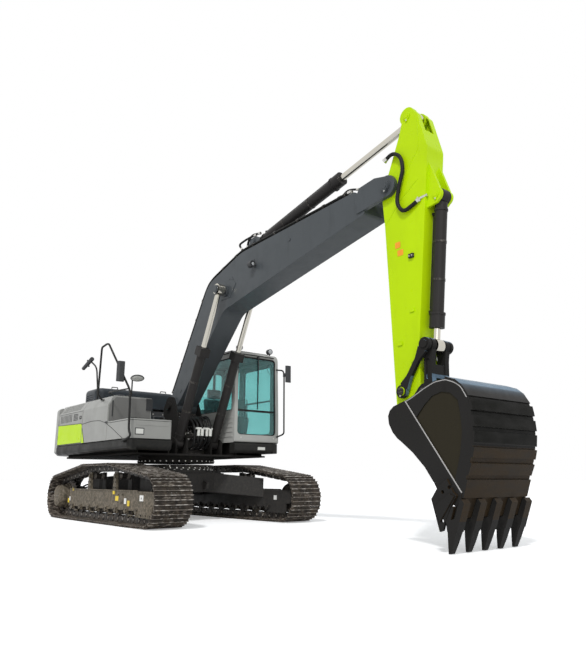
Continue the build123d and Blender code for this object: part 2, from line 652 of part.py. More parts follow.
with BuildPart() as cab_shell:
    plate(CAB_SIDE, CAB_RIGHT, CAB_LEFT)
    plate(CAB_ROOM, CAB_RIGHT + CAB_WALL, CAB_LEFT - CAB_WALL, Mode.SUBTRACT)
    plate(DOOR_OPENING, CAB_LEFT - 80, CAB_LEFT + 5, Mode.SUBTRACT)
    plate(REAR_QUARTER, CAB_LEFT - 80, CAB_LEFT + 5, Mode.SUBTRACT)
    plate(RIGHT_WINDOW, CAB_RIGHT - 5, CAB_RIGHT + 80, Mode.SUBTRACT)
    slab(FRONT_WINDOW, CAB_FRONT - 140, CAB_FRONT + 10, Mode.SUBTRACT)
    slab(REAR_WINDOW, CAB_REAR - 5, CAB_REAR + 80, Mode.SUBTRACT)
    block((CAB_FRONT - 100, CAB_FRONT - 62), (555, 1400), (1850, 1885))
    for level in CAB_RIB_LEVELS:
        block((330, 1040), (CAB_RIGHT - 9, CAB_RIGHT + 2), (level, level + 26))
    block((-640, 960), (650, 1300), (CAB_ROOF - 4, CAB_ROOF + 14))
write(cab_shell.part, "cab_shell")

GLASS = 8
CAB_DOOR_AXIS = (-55, 1462)
with BuildPart() as cab_glass:
    plate(inset(REAR_QUARTER, 2), CAB_LEFT - 30, CAB_LEFT - 30 + GLASS)
    plate(inset(RIGHT_WINDOW, 2), CAB_RIGHT + 20, CAB_RIGHT + 20 + GLASS)
    slab(inset(FRONT_WINDOW, 2), CAB_FRONT - 46, CAB_FRONT - 46 + GLASS)
    slab(inset(REAR_WINDOW, 2), CAB_REAR + 20, CAB_REAR + 20 + GLASS)
write(cab_glass.part, "cab_glass")

DOOR_SLAB = inset(DOOR_OPENING, 8)
DOOR_PANE_HOLE = ((20, 1480, 80), (900, 1480, 80), (900, 2740, 80), (20, 2740, 80))
with BuildPart() as cab_door:
    plate(DOOR_SLAB, CAB_LEFT - 45, CAB_LEFT)
    plate(DOOR_PANE_HOLE, CAB_LEFT - 60, CAB_LEFT + 10, Mode.SUBTRACT)
    hinge(*CAB_DOOR_AXIS, (1520, 2080, 2640), 12, 90)
    for level in (1520, 2080, 2640):
        block((-50, 10), (CAB_LEFT - 3, CAB_DOOR_AXIS[1]), (level - 30, level + 30))
write(cab_door.part, "cab_door")
with BuildPart() as cab_door_glass:
    plate(inset(DOOR_PANE_HOLE, 2), CAB_LEFT - 28, CAB_LEFT - 28 + GLASS)
write(cab_door_glass.part, "cab_door_glass")

with BuildPart() as operator_seat:
    block((-260, 260), (740, 1180), (1350, 1620))
    block((-280, 270), (710, 1210), (1620, 1760))
    plate(((-300, 1740, 40), (-130, 1740, 40), (-270, 2420, 50), (-400, 2420, 50)), 720, 1200)
write(operator_seat.part, "operator_seat")

with BuildPart() as consoles:
    for low, high in ((560, 690), (1230, 1350)):
        plate(((-260, 1350, 20), (200, 1350, 20), (330, 1850, 60), (-260, 1900, 60)), low, high)
        bar((260, (low + high) / 2, 1840), (270, (low + high) / 2, 2050), 24)
write(consoles.part, "consoles")

with BuildPart() as cab_mirror_rail:
    tube(((1092, 1400, 2650), (1150, 1520, 2645), (1165, 1530, 2560), (1165, 1530, 1480),
          (1115, 1400, 1420)), 14)
    block((1185, 1235), (1535, 1655), (2420, 2735))
    bar((1165, 1530, 2560), (1200, 1560, 2560), 11)
write(cab_mirror_rail.part, "cab_mirror_rail")

with BuildPart() as cab_lamps:
    for y in (640, 1310):
        bar((1000, y, CAB_ROOF - 6), (1000, y, CAB_ROOF + 30), 14)
        bar((960, y, CAB_ROOF + 62), (1030, y, CAB_ROOF + 62), 50)
write(cab_lamps.part, "cab_lamps")


# ---- boom ---------------------------------------------------------------------------------
BOOM_BODY = (  # x, z, corner radius
    (60, 2060, 40), (1270, 3950, 420), (2250, 4240, 900), (4870, 4320, 90), (5020, 4150, 90),
    (5030, 3955, 40),
    (1767, 3379, 350), (420, 2030, 120), (220, 1870, 40),
)
BOOM_FORK = (  # x, z, corner radius
    (4900, 3990, 20), (5250, 4030, 60), (5470, 4050, 20), (5520, 4290, 20), (5230, 4360, 60),
    (4960, 4330, 20), (4880, 4200, 20),
)
EYE_DOUBLER = ((1690, 3560), (1960, 3560), (2120, 3760), (1990, 3860), (1760, 3860), (1640, 3720))
BOOM_WALL = 20
BOOM_SIDE_WALL = 14
PIPE_ROUTE = (  # x, z
    (92, 2193), (264, 2462), (1146, 3839), (1250, 3962), (1400, 4036), (2240, 4284), (4780, 4363),
)
FORK_INNER = STICK_HALF_WIDTH + SIDE_GAP
FORK_OUTER = 215

with BuildPart() as boom:
    plate(BOOM_BODY, -BOOM_HALF_WIDTH, BOOM_HALF_WIDTH)
    pin(BOOM_FOOT, 165, -BOOM_HALF_WIDTH - 8, BOOM_HALF_WIDTH + 8)
    for hand in (1, -1):
        plate(BOOM_FORK, *sorted((hand * FORK_INNER, hand * FORK_OUTER)))
        flat(EYE_DOUBLER, *sorted((hand * (BOOM_HALF_WIDTH - 2), hand * (BOOM_HALF_WIDTH + 8))))
        pin(BOOM_TIP, 138, *sorted((hand * FORK_INNER, hand * FORK_OUTER)))
        pin(BOOM_TIP, 70, *sorted((hand * FORK_OUTER, hand * (FORK_OUTER + 22))))
        pin(BOOM_CYLINDER_EYE, 95, *sorted((hand * BOOM_HALF_WIDTH, hand * 240)))
        plate(((2290, 4180, 20), (2760, 4180, 20), (2590, 4440, 60), (2410, 4440, 60)),
              *sorted((hand * 95, hand * 135)))
        pin(STICK_CYLINDER_FOOT, 60, *sorted((hand * 134, hand * 140)))
    pin(STICK_CYLINDER_FOOT, 50, -134, 134)
    pin(BOOM_TIP, 60, -FORK_OUTER, FORK_OUTER)
    pin(BOOM_FOOT, 56, -300, 300, Mode.SUBTRACT)
    inside = BOOM_HALF_WIDTH - BOOM_SIDE_WALL
    plate(inset(BOOM_BODY, BOOM_WALL), -inside, inside, Mode.SUBTRACT)
    pin(BOOM_FOOT, 165, -BOOM_HALF_WIDTH, BOOM_HALF_WIDTH)
    pin(BOOM_FOOT, 56, -300, 300, Mode.SUBTRACT)
write(boom.part, "boom")

with BuildPart() as boom_pipes:
    for y in (-182, -154):
        tube([(x, y, z) for x, z in PIPE_ROUTE], 13, 8)
write(boom_pipes.part, "boom_pipes")

with BuildPart() as boom_lamp:
    bar((2640, -203, 3920), (2640, -240, 3920), 18)
    bar((2600, -270, 3920), (2680, -270, 3920), 50)
write(boom_lamp.part, "boom_lamp")


# ---- hydraulic cylinders ------------------------------------------------------------------
BARREL_WALL = 12
BASE_LENGTH = 45
GLAND_LENGTH = 150
PISTON_LENGTH = 80
RUNNING_GAP = 1


def on_line(start, end, distance):
    """Point at a distance from start towards end, both (x, z)."""
    length = hypot(end[0] - start[0], end[1] - start[1])
    share = distance / length
    return (start[0] + share * (end[0] - start[0]), start[1] + share * (end[1] - start[1]))


def along(foot, eye, y, distances):
    """Points on a cylinder's axis at the given distances from its foot."""
    return [(x, y, z) for x, z in (on_line(foot, eye, distance) for distance in distances)]


def barrel(foot, eye, y, radius, length, eye_radius, eye_half_width, bore, rod_radius, square):
    """Barrel with its foot eye and gland collar, hollow between its base and the gland."""
    base = eye_radius + BASE_LENGTH
    collar = length - GLAND_LENGTH
    places = along(foot, eye, y, (eye_radius - 10, base, collar, length, length + 5))
    start, floor, neck, end, clear = places
    bar(start, neck, radius)
    if square:
        axis = Vector(*end) - Vector(*neck)
        with BuildSketch(Plane(origin=neck, x_dir=(0, 1, 0), z_dir=axis)) as head:
            Rectangle(2 * radius + 26, 2 * radius + 26)
        extrude(head.sketch, amount=axis.length)
    else:
        bar(neck, end, radius + 14)
    bar(floor, neck, radius - BARREL_WALL, Mode.SUBTRACT)
    bar(neck, clear, rod_radius + RUNNING_GAP, Mode.SUBTRACT)
    pin(foot, eye_radius, y - eye_half_width, y + eye_half_width)
    pin(foot, bore, y - eye_half_width - 5, y + eye_half_width + 5, Mode.SUBTRACT)


def piston_rod(foot, eye, y, radius, barrel_radius, inner, eye_radius, eye_half_width):
    """Rod from its piston inside the barrel, at a distance from the foot, to its eye."""
    reach = hypot(eye[0] - foot[0], eye[1] - foot[1]) - eye_radius + 10
    start, crown, end = along(foot, eye, y, (inner, inner + PISTON_LENGTH, reach))
    bar(start, crown, barrel_radius - BARREL_WALL - RUNNING_GAP)
    bar(crown, end, radius)
    pin(eye, eye_radius, y - eye_half_width, y + eye_half_width)


BOOM_BARREL, BOOM_BARREL_RADIUS, BOOM_ROD_RADIUS, BOOM_PISTON = 1700, 78, 44, 1017
with BuildPart() as boom_cylinder_barrels:
    for hand in (1, -1):
        barrel(BOOM_CYLINDER_FOOT, BOOM_CYLINDER_EYE, hand * BOOM_CYLINDER_Y, BOOM_BARREL_RADIUS,
               BOOM_BARREL, 88, 58, 43, BOOM_ROD_RADIUS, True)
write(boom_cylinder_barrels.part, "boom_cylinder_barrels")
with BuildPart() as boom_cylinder_rods:
    for hand in (1, -1):
        piston_rod(BOOM_CYLINDER_FOOT, BOOM_CYLINDER_EYE, hand * BOOM_CYLINDER_Y, BOOM_ROD_RADIUS,
                   BOOM_BARREL_RADIUS, BOOM_PISTON, 92, 58)
        pin(BOOM_CYLINDER_EYE, 50, *sorted((hand * 247, hand * (BOOM_CYLINDER_Y + 66))))
write(boom_cylinder_rods.part, "boom_cylinder_rods")

STICK_BARREL, STICK_BARREL_RADIUS, STICK_ROD_RADIUS, STICK_PISTON = 1960, 84, 48, 1285
with BuildPart() as stick_cylinder_barrel:
    barrel(STICK_CYLINDER_FOOT, STICK_CYLINDER_EYE, 0, STICK_BARREL_RADIUS, STICK_BARREL, 95, 80,
           51, STICK_ROD_RADIUS, False)
write(stick_cylinder_barrel.part, "stick_cylinder_barrel")
with BuildPart() as stick_cylinder_rod:
    piston_rod(STICK_CYLINDER_FOOT, STICK_CYLINDER_EYE, 0, STICK_ROD_RADIUS, STICK_BARREL_RADIUS,
               STICK_PISTON, 92, 68)
write(stick_cylinder_rod.part, "stick_cylinder_rod")

BUCKET_BARREL, BUCKET_BARREL_RADIUS, BUCKET_ROD_RADIUS, BUCKET_PISTON = 1540, 72, 42, 300
with BuildPart() as bucket_cylinder_barrel:
    barrel(BUCKET_CYLINDER_FOOT, ROCKER_TOP, 0, BUCKET_BARREL_RADIUS, BUCKET_BARREL, 88, 66, 46,
           BUCKET_ROD_RADIUS, False)
write(bucket_cylinder_barrel.part, "bucket_cylinder_barrel")
with BuildPart() as bucket_cylinder_rod:
    piston_rod(BUCKET_CYLINDER_FOOT, ROCKER_TOP, 0, BUCKET_ROD_RADIUS, BUCKET_BARREL_RADIUS,
               BUCKET_PISTON, 80, 60)
write(bucket_cylinder_rod.part, "bucket_cylinder_rod")


# ---- stick --------------------------------------------------------------------------------
STICK_BODY = (  # x, z, corner radius
    (5700, 5090, 60), (5610, 4800, 60), (5430, 4400, 60), (5290, 4120, 60), (5325, 3700, 300),
    (5420, 1240, 120),
    (5760, 1240, 120), (5775, 2150, 400), (6030, 4480, 200), (5900, 4980, 100), (5800, 5100, 60),
)
STICK_EAR = ((5960, 3740, 10), (6090, 3760, 10), (6170, 3830, 60), (6120, 3980, 60),
             (5990, 4350, 80), (5900, 4350, 0), (5900, 3740, 0))
STICK_WALL = 16
STICK_SIDE_WALL = 12

with BuildPart() as stick:
    plate(STICK_BODY, -STICK_HALF_WIDTH, STICK_HALF_WIDTH)
    inside = STICK_HALF_WIDTH - STICK_SIDE_WALL
    plate(inset(STICK_BODY, STICK_WALL), -inside, inside, Mode.SUBTRACT)
    for place, radius in ((BOOM_TIP, 140), (BUCKET_PIN, 150), (ROCKER_FOOT, 85)):
        pin(place, radius, -STICK_HALF_WIDTH, STICK_HALF_WIDTH)
    pin(BOOM_TIP, 61, -200, 200, Mode.SUBTRACT)
    pin(BUCKET_PIN, 46, -200, 200, Mode.SUBTRACT)
    block((5440, 6100), (-78, 78), (4745, 5200), Mode.SUBTRACT)
    for hand in (1, -1):
        pin(STICK_CYLINDER_EYE, 110, *sorted((hand * 78, hand * STICK_HALF_WIDTH)))
        plate(STICK_EAR, *sorted((hand * 74, hand * 110)))
        pin(BUCKET_CYLINDER_FOOT, 85, *sorted((hand * 74, hand * 110)))
        pin(ROCKER_FOOT, 50, *sorted((hand * STICK_HALF_WIDTH, hand * 222)))
    pin(BUCKET_CYLINDER_FOOT, 45, -110, 110)
write(stick.part, "stick")


# ---- bucket linkage -----------------------------------------------------------------------
ROCKER_INNER, ROCKER_OUTER = 168, 212


def bone(start, end, start_radius, end_radius, waist, y_low, y_high):
    """Flat link with an eye at each end, its web narrowing to a waist between them."""
    pin(start, start_radius, y_low, y_high)
    pin(end, end_radius, y_low, y_high)
    axis = Vector(end[0] - start[0], 0, end[1] - start[1])
    plane = Plane(origin=(start[0], y_high, start[1]), x_dir=axis, z_dir=(0, -1, 0))
    length, near, far = axis.length, 0.85 * start_radius, 0.85 * end_radius
    edge = [(0.1 * length, near), (0.32 * length, waist), (0.68 * length, waist),
            (0.9 * length, far)]
    with BuildSketch(plane) as web:
        Polygon(*[(x, -y) for x, y in edge], *reversed(edge), align=None)
    extrude(web.sketch, amount=y_high - y_low)


with BuildPart() as rocker_links:
    for hand in (1, -1):
        bone(ROCKER_FOOT, ROCKER_TOP, 76, 76, 32,
             *sorted((hand * ROCKER_INNER, hand * ROCKER_OUTER)))
        pin(ROCKER_FOOT, 51, *sorted((hand * 160, hand * 230)), Mode.SUBTRACT)
        pin(ROCKER_TOP, 46, *sorted((hand * (ROCKER_OUTER - 2), hand * (ROCKER_OUTER + 16))))
write(rocker_links.part, "rocker_links")

LINK_INNER, LINK_OUTER = 82, 150
LINK_POCKET = ((5852, 1745, 24), (5902, 1745, 24), (5910, 1975, 24), (5860, 1975, 24))
with BuildPart() as bucket_link:
    for hand in (1, -1):
        bone(BUCKET_LINK_PIN, ROCKER_TOP, 78, 78, 54,
             *sorted((hand * LINK_INNER, hand * LINK_OUTER)))
        plate(LINK_POCKET, *sorted((hand * (LINK_OUTER - 14), hand * (LINK_OUTER + 5))),
              Mode.SUBTRACT)
    middle = on_line(BUCKET_LINK_PIN, ROCKER_TOP, 250)
    block((middle[0] - 45, middle[0] + 45), (-LINK_INNER - 5, LINK_INNER + 5),
          (middle[1] - 90, middle[1] + 60))
    pin(BUCKET_LINK_PIN, 41, -LINK_OUTER - 5, LINK_OUTER + 5, Mode.SUBTRACT)
write(bucket_link.part, "bucket_link")


# ---- bucket -------------------------------------------------------------------------------
BUCKET_BACK = (  # x, z: outside of the curved wrapper under its wear bands, from top to lip
    (6262, 1642), (6395, 1653), (6508, 1614), (6584, 1558), (6644, 1447), (6674, 1300),
    (6684, 1146), (6668, 1000), (6638, 865), (6582, 722), (6514, 508),
)
BUCKET_FRONT = (  # x, z: lip, opening edge and the lobe round the stick, from lip to top
    (6440, 330), (6404, 318), (6447, 428), (6424, 446), (6300, 475), (6231, 594), (6203, 647),
    (6094, 801), (5947, 948), (5799, 1063), (5748, 1098), (5686, 1165), (5638, 1255),
    (5630, 1339), (5656, 1394), (5711, 1435), (5873, 1482), (5961, 1513), (6135, 1596),
)
BUCKET_ROOM = (  # x, z: hollow between the side plates
    (5850, 1430), (6120, 1562), (6265, 1614), (6388, 1625), (6496, 1588), (6562, 1541),
    (6618, 1436), (6646, 1296), (6656, 1146), (6641, 1006), (6612, 873), (6556, 731),
    (6480, 490), (6400, 290), (6100, 300), (5500, 1000), (5700, 1330),
)
STICK_SWEEP = ((5600, 900), (5765, 1150), (5765, 1330), (5822, 1460), (5822, 1600), (5400, 1600),
               (5400, 900))
BUCKET_EAR = (  # x, z, corner radius
    (5520, 1180, 60), (5640, 1160, 60), (5860, 1442, 0), (6230, 1608, 0), (6160, 1640, 40),
    (5900, 1690, 60), (5800, 1670, 60), (5500, 1330, 60),
)
WEAR_BANDS = (  # x and z of the outer face's upper edge, x and z of its lower edge
    (6395, 1672, 6514, 1630), (6514, 1630, 6589, 1567), (6589, 1567, 6654, 1461),
    (6677, 1426, 6694, 1322), (6695, 1274, 6702, 1167), (6701, 1125, 6687, 1009),
    (6686, 973, 6660, 880), (6646, 828, 6598, 719), (6588, 678, 6531, 512),
)
BAND_DEPTH = 26
CUTTING_EDGE = BUCKET_FRONT[3:17] + ((6518, 562), (6508, 506), (6449, 432))
SIDE_RECESS = (  # x, z: sunk panel behind the cutting edge, inside the rim along the back
    (6006, 1294), (6123, 1417), (6226, 1497), (6339, 1526), (6445, 1506), (6530, 1429),
    (6550, 1293), (6559, 1124), (6522, 912), (6444, 672),
)
SIDE_PLATE = 30
RECESS_DEPTH = 10
EDGE_PROUD = 6

with BuildPart() as bucket:
    flat(BUCKET_BACK + BUCKET_FRONT, -BUCKET_HALF_WIDTH, BUCKET_HALF_WIDTH)
    for x1, z1, x2, z2 in WEAR_BANDS:
        step = hypot(x2 - x1, z2 - z1)
        into = (BAND_DEPTH * (z2 - z1) / step, -BAND_DEPTH * (x2 - x1) / step)
        band = ((x1, z1), (x2, z2), (x2 + into[0], z2 + into[1]), (x1 + into[0], z1 + into[1]))
        flat(band, -BUCKET_HALF_WIDTH, BUCKET_HALF_WIDTH)
    inside = BUCKET_HALF_WIDTH - SIDE_PLATE
    flat(BUCKET_ROOM, -inside, inside, Mode.SUBTRACT)
    flat(STICK_SWEEP, -inside, inside, Mode.SUBTRACT)
    for hand in (1, -1):
        outside = hand * BUCKET_HALF_WIDTH
        flat(SIDE_RECESS, *sorted((outside - hand * RECESS_DEPTH, outside + hand * 5)),
             Mode.SUBTRACT)
        flat(CUTTING_EDGE, *sorted((outside - hand * 2, outside + hand * EDGE_PROUD)))
        plate(BUCKET_EAR, *sorted((hand * 165, hand * 215)))
        pin(BUCKET_PIN, 112, *sorted((hand * 165, hand * 215)))
        pin(BUCKET_LINK_PIN, 95, *sorted((hand * 165, hand * 215)))
    for hand in (1, -1):
        pin(BUCKET_PIN, 60, *sorted((hand * 214, hand * 240)))
        pin(BUCKET_LINK_PIN, 55, *sorted((hand * 214, hand * 240)))
    pin(BUCKET_PIN, 45, -216, 216)
    pin(BUCKET_LINK_PIN, 40, -216, 216)
write(bucket.part, "bucket")

TOOTH_COUNT = 5
TOOTH_SPACING = 260
ADAPTER_SIDE = (  # x, z: saddle over the lip, its nose down
    (6352, 205), (6460, 205), (6560, 465), (6532, 502), (6513, 499), (6443, 327), (6400, 313),
    (6441, 423), (6417, 437), (6342, 300),
)
TOOTH_LEVELS = (  # level, centre x, depth along x, width
    (214, 6406, 100, 104), (100, 6378, 62, 84), (6, 6352, 26, 62),
)
ADAPTER_HALF_WIDTH = 52
with BuildPart() as bucket_teeth:
    for index in range(TOOTH_COUNT):
        y = (index - (TOOTH_COUNT - 1) / 2) * TOOTH_SPACING
        flat(ADAPTER_SIDE, y - ADAPTER_HALF_WIDTH, y + ADAPTER_HALF_WIDTH)
        sections = []
        for z, x, depth, width in TOOTH_LEVELS:
            with BuildSketch(Plane.XY.offset(z)) as section:
                with Locations((x, y)):
                    Rectangle(depth, width)
            sections.append(section.sketch)
        loft(sections, ruled=True)
write(bucket_teeth.part, "bucket_teeth")

CUTTER_SIDE = ((6375, 688), (6264, 608), (6180, 498), (6264, 198), (6303, 211), (6337, 300),
               (6407, 432), (6480, 535), (6440, 566))
CUTTER_BLOCK = ((6214, 424), (6404, 552), (6462, 530), (6280, 292))
CUTTER_HOLES = ((6322, 566), (6400, 610), (6300, 300))
CUTTER_FOOT = BUCKET_HALF_WIDTH + EDGE_PROUD + 1
with BuildPart() as side_cutters:
    for hand in (1, -1):
        flat(CUTTER_SIDE, *sorted((hand * CUTTER_FOOT, hand * (CUTTER_FOOT + 28))))
        flat(CUTTER_BLOCK, *sorted((hand * (CUTTER_FOOT + 26), hand * (CUTTER_FOOT + 44))))
        for hole in CUTTER_HOLES:
            pin(hole, 18, *sorted((hand * (CUTTER_FOOT - 5), hand * (CUTTER_FOOT + 34))),
                Mode.SUBTRACT)
write(side_cutters.part, "side_cutters")
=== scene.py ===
"""Crawler excavator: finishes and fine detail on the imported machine.

Everything is modelled in millimetres from the slewing axis, as the machine's drawings are, and moved
into the machine's own frame in metres when a piece is finished.
"""

import json
import math

import bmesh
import bpy
from mathutils import Matrix, Vector

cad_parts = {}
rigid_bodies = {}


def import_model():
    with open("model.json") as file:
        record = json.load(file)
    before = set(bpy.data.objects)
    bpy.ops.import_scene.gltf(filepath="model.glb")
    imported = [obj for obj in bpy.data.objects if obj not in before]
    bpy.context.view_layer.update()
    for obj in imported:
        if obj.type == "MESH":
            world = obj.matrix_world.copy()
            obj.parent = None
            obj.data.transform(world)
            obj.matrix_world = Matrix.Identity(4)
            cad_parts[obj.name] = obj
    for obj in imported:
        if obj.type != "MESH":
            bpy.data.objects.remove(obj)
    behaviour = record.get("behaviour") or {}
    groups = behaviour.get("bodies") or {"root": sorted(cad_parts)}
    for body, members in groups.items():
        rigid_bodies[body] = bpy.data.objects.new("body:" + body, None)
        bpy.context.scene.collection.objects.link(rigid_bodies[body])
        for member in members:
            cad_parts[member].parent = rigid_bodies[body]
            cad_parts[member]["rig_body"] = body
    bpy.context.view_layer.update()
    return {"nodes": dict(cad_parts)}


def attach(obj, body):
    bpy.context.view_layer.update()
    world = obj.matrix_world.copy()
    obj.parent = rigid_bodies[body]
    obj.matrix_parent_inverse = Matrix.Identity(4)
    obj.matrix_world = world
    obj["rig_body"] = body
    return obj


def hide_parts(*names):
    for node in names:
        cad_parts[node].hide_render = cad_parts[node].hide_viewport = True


bl_info = {
    "name": "Crawler excavator",
    "version": (1, 0, 0),
    "blender": (4, 5, 0),
    "location": "View3D > Sidebar > Excavator",
    "description": "Finishes and fine detail of a crawler excavator",
    "category": "Add Mesh",
}

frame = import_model()

SLEW_AXIS_X = -1.993
TO_MACHINE = Matrix.Translation((SLEW_AXIS_X, 0, 0)) @ Matrix.Scale(0.001, 4)
FINISHES = {}

AHEAD, ACROSS, UP = (1, 0, 0), (0, 1, 0), (0, 0, 1)
CREASE_ANGLE = math.radians(32)
FLAT_ANGLE = math.radians(0.8)


# ---- modelling kit --------------------------------------------------------------------------
def turn_towards(direction):
    """Rotation that takes +Z to a direction."""
    return Vector(UP).rotation_difference(Vector(direction).normalized()).to_matrix().to_4x4()


def rounded(route, bend):
    """Points of a route with its corners turned into arcs of about one bend radius."""
    route = [Vector(point) for point in route]
    path = [route[0]]
    for before, here, after in zip(route, route[1:], route[2:]):
        back, ahead = before - here, after - here
        reach = min(bend, back.length * 0.48, ahead.length * 0.48)
        start, end = here + back.normalized() * reach, here + ahead.normalized() * reach
        steps = max(2, round(6 * (1 - back.normalized().dot(-ahead.normalized())) + 2))
        for step in range(steps + 1):
            t = step / steps
            path.append(start * (1 - t) ** 2 + here * 2 * t * (1 - t) + end * t**2)
    path.append(route[-1])
    return [point for index, point in enumerate(path)
            if index == 0 or (point - path[index - 1]).length > 0.5]


def on_ring(count, centre, axis, radius, first=0.0):
    """Evenly spaced places on a ring about an axis."""
    turn = Matrix.Translation(centre) @ turn_towards(axis)
    angles = [first + 2 * math.pi * index / count for index in range(count)]
    return [turn @ Vector((radius * math.cos(a), radius * math.sin(a), 0)) for a in angles]


def standing(face, height):
    """Range from an upright face to a height off it, low value first."""
    return sorted((face, face + height))


def grab(start, end, level, height):
    """Route of a low grab rail between two places on a level deck."""
    return ((*start, level), (*start, level + height), (*end, level + height), (*end, level))


def oblong(a, b, radius=0):
    """Outline rows of a rectangle with rounded corners, from two (low, high) pairs."""
    return (a[0], b[0], radius), (a[1], b[0], radius), (a[1], b[1], radius), (a[0], b[1], radius)


class Piece:
    """One part of the machine while it is being modelled, in millimetres from the slewing axis."""

    AXES = {"Y": (0, 2, 1), "X": (1, 2, 0), "Z": (0, 1, 2)}

    def __init__(self, name, *finishes):
        self.name = name
        self.finishes = finishes
        self.mesh = bmesh.new()

    def paint(self, faces, tint):
        for face in faces:
            face.material_index = tint

    def box(self, x, y, z, tint=0):
        """Rectangular block from three (low, high) pairs."""
        lows, highs = zip(x, y, z)
        middle = [(a + b) / 2 for a, b in zip(lows, highs)]
        size = [b - a for a, b in zip(lows, highs)]
        place = Matrix.Translation(middle) @ Matrix.Diagonal((*size, 1))
        made = bmesh.ops.create_cube(self.mesh, size=1, matrix=place)
        self.paint({face for vert in made["verts"] for face in vert.link_faces}, tint)

    def bar(self, start, end, radius, end_radius=None, sides=24, tint=0):
        """Round bar, cone or prism between two points."""
        start, end = Vector(start), Vector(end)
        place = Matrix.Translation((start + end) / 2) @ turn_towards(end - start)
        made = bmesh.ops.create_cone(
            self.mesh, cap_ends=True, segments=sides, radius1=radius,
            radius2=radius if end_radius is None else end_radius,
            depth=(end - start).length, matrix=place,
        )
        self.paint({face for vert in made["verts"] for face in vert.link_faces}, tint)

    def pin(self, place, radius, y_low, y_high, sides=32, tint=0):
        """Round bar across the machine through (x, z)."""
        self.bar((place[0], y_low, place[1]), (place[0], y_high, place[1]), radius, sides=sides,
                 tint=tint)

    def plate(self, corners, low, high, across="Y", tint=0):
        """Plate from a rounded outline of (a, b, radius) rows, between two values across it."""
        first, second, third = self.AXES[across]
        rows = [tuple(row) + (0,) * (3 - len(row)) for row in corners]
        verts = []
        for a, b, _ in rows:
            place = [0, 0, 0]
            place[first], place[second], place[third] = a, b, low
            verts.append(self.mesh.verts.new(place))
        face = self.mesh.faces.new(verts)
        step = Vector((0, 0, 0))
        step[third] = high - low
        made = bmesh.ops.extrude_face_region(self.mesh, geom=[face])
        raised = [item for item in made["geom"] if isinstance(item, bmesh.types.BMVert)]
        bmesh.ops.translate(self.mesh, vec=step, verts=raised)
        shell = {item for vert in verts + raised for item in vert.link_faces}
        bmesh.ops.recalc_face_normals(self.mesh, faces=list(shell))
        self.paint(shell, tint)
        count = len(rows)
        for index, vert in enumerate(verts):
            radius = rows[index][2]
            if radius <= 0:
                continue
            here = Vector(rows[index][:2])
            back = (Vector(rows[index - 1][:2]) - here).normalized()
            ahead = (Vector(rows[(index + 1) % count][:2]) - here).normalized()
            half = max(back.angle(ahead) / 2, 0.02)
            upright = [edge for edge in vert.link_edges
                       if (edge.other_vert(vert).co - vert.co).cross(step).length < 1e-2 * step.length]
            arc = (math.pi - 2 * half) * radius
            bmesh.ops.bevel(
                self.mesh, geom=upright, offset=radius / math.tan(half), offset_type="OFFSET",
                segments=max(2, min(12, int(arc / 12) + 2)), profile=0.5, affect="EDGES",
                clamp_overlap=False, material=-1,
            )

    def bolts(self, places, axis, size, tint=0, washer=True):
        """Hexagon bolt heads standing on a surface, all along one axis."""
        axis = Vector(axis).normalized()
        for place in places:
            foot = Vector(place)
            if washer:
                self.bar(foot, foot + axis * size * 0.16, size * 1.05, sides=14, tint=tint)
            self.bar(foot, foot + axis * size * 0.75, size * 0.88, size * 0.8, sides=6, tint=tint)

    def turned(self, rows, origin, axis, sides=40, tint=0):
        """Body of revolution from (radius, distance along the axis) rows."""
        place = Matrix.Translation(origin) @ turn_towards(axis)
        ring = [self.mesh.verts.new(place @ Vector((max(r, 0.01), 0, h))) for r, h in rows]
        edges = [self.mesh.edges.new(pair) for pair in zip(ring, ring[1:])]
        made = bmesh.ops.spin(
            self.mesh, geom=ring + edges, cent=Vector(origin), axis=Vector(axis).normalized(),
            angle=2 * math.pi, steps=sides, use_merge=True,
        )
        verts = {v for v in ring if v.is_valid}
        verts |= {i for i in made["geom_last"] if isinstance(i, bmesh.types.BMVert) and i.is_valid}
        faces = self.connected(verts)
        ends = [e for e in {e for f in faces for e in f.edges} if e.is_boundary]
        if ends:
            bmesh.ops.holes_fill(self.mesh, edges=ends, sides=0)
        faces = self.connected(verts)
        bmesh.ops.recalc_face_normals(self.mesh, faces=list(faces))
        self.paint(faces, tint)

    @staticmethod
    def connected(verts):
        """All faces joined to some vertices."""
        todo, seen = list(verts), set(verts)
        faces = set()
        while todo:
            for face in todo.pop().link_faces:
                if face not in faces:
                    faces.add(face)
                    fresh = [v for v in face.verts if v not in seen]
                    seen.update(fresh)
                    todo.extend(fresh)
        return faces

    def stamp(self, template, place):
        """Adds a copy of a finished template mesh at a place."""
        before = len(self.mesh.verts)
        self.mesh.from_mesh(template)
        self.mesh.verts.ensure_lookup_table()
        bmesh.ops.transform(self.mesh, matrix=place, verts=self.mesh.verts[before:])

    def template(self):
        """The piece as a mesh in its own millimetres, to be stamped many times."""
        data = bpy.data.meshes.new(self.name)
        self.mesh.to_mesh(data)
        self.mesh.free()
        return data

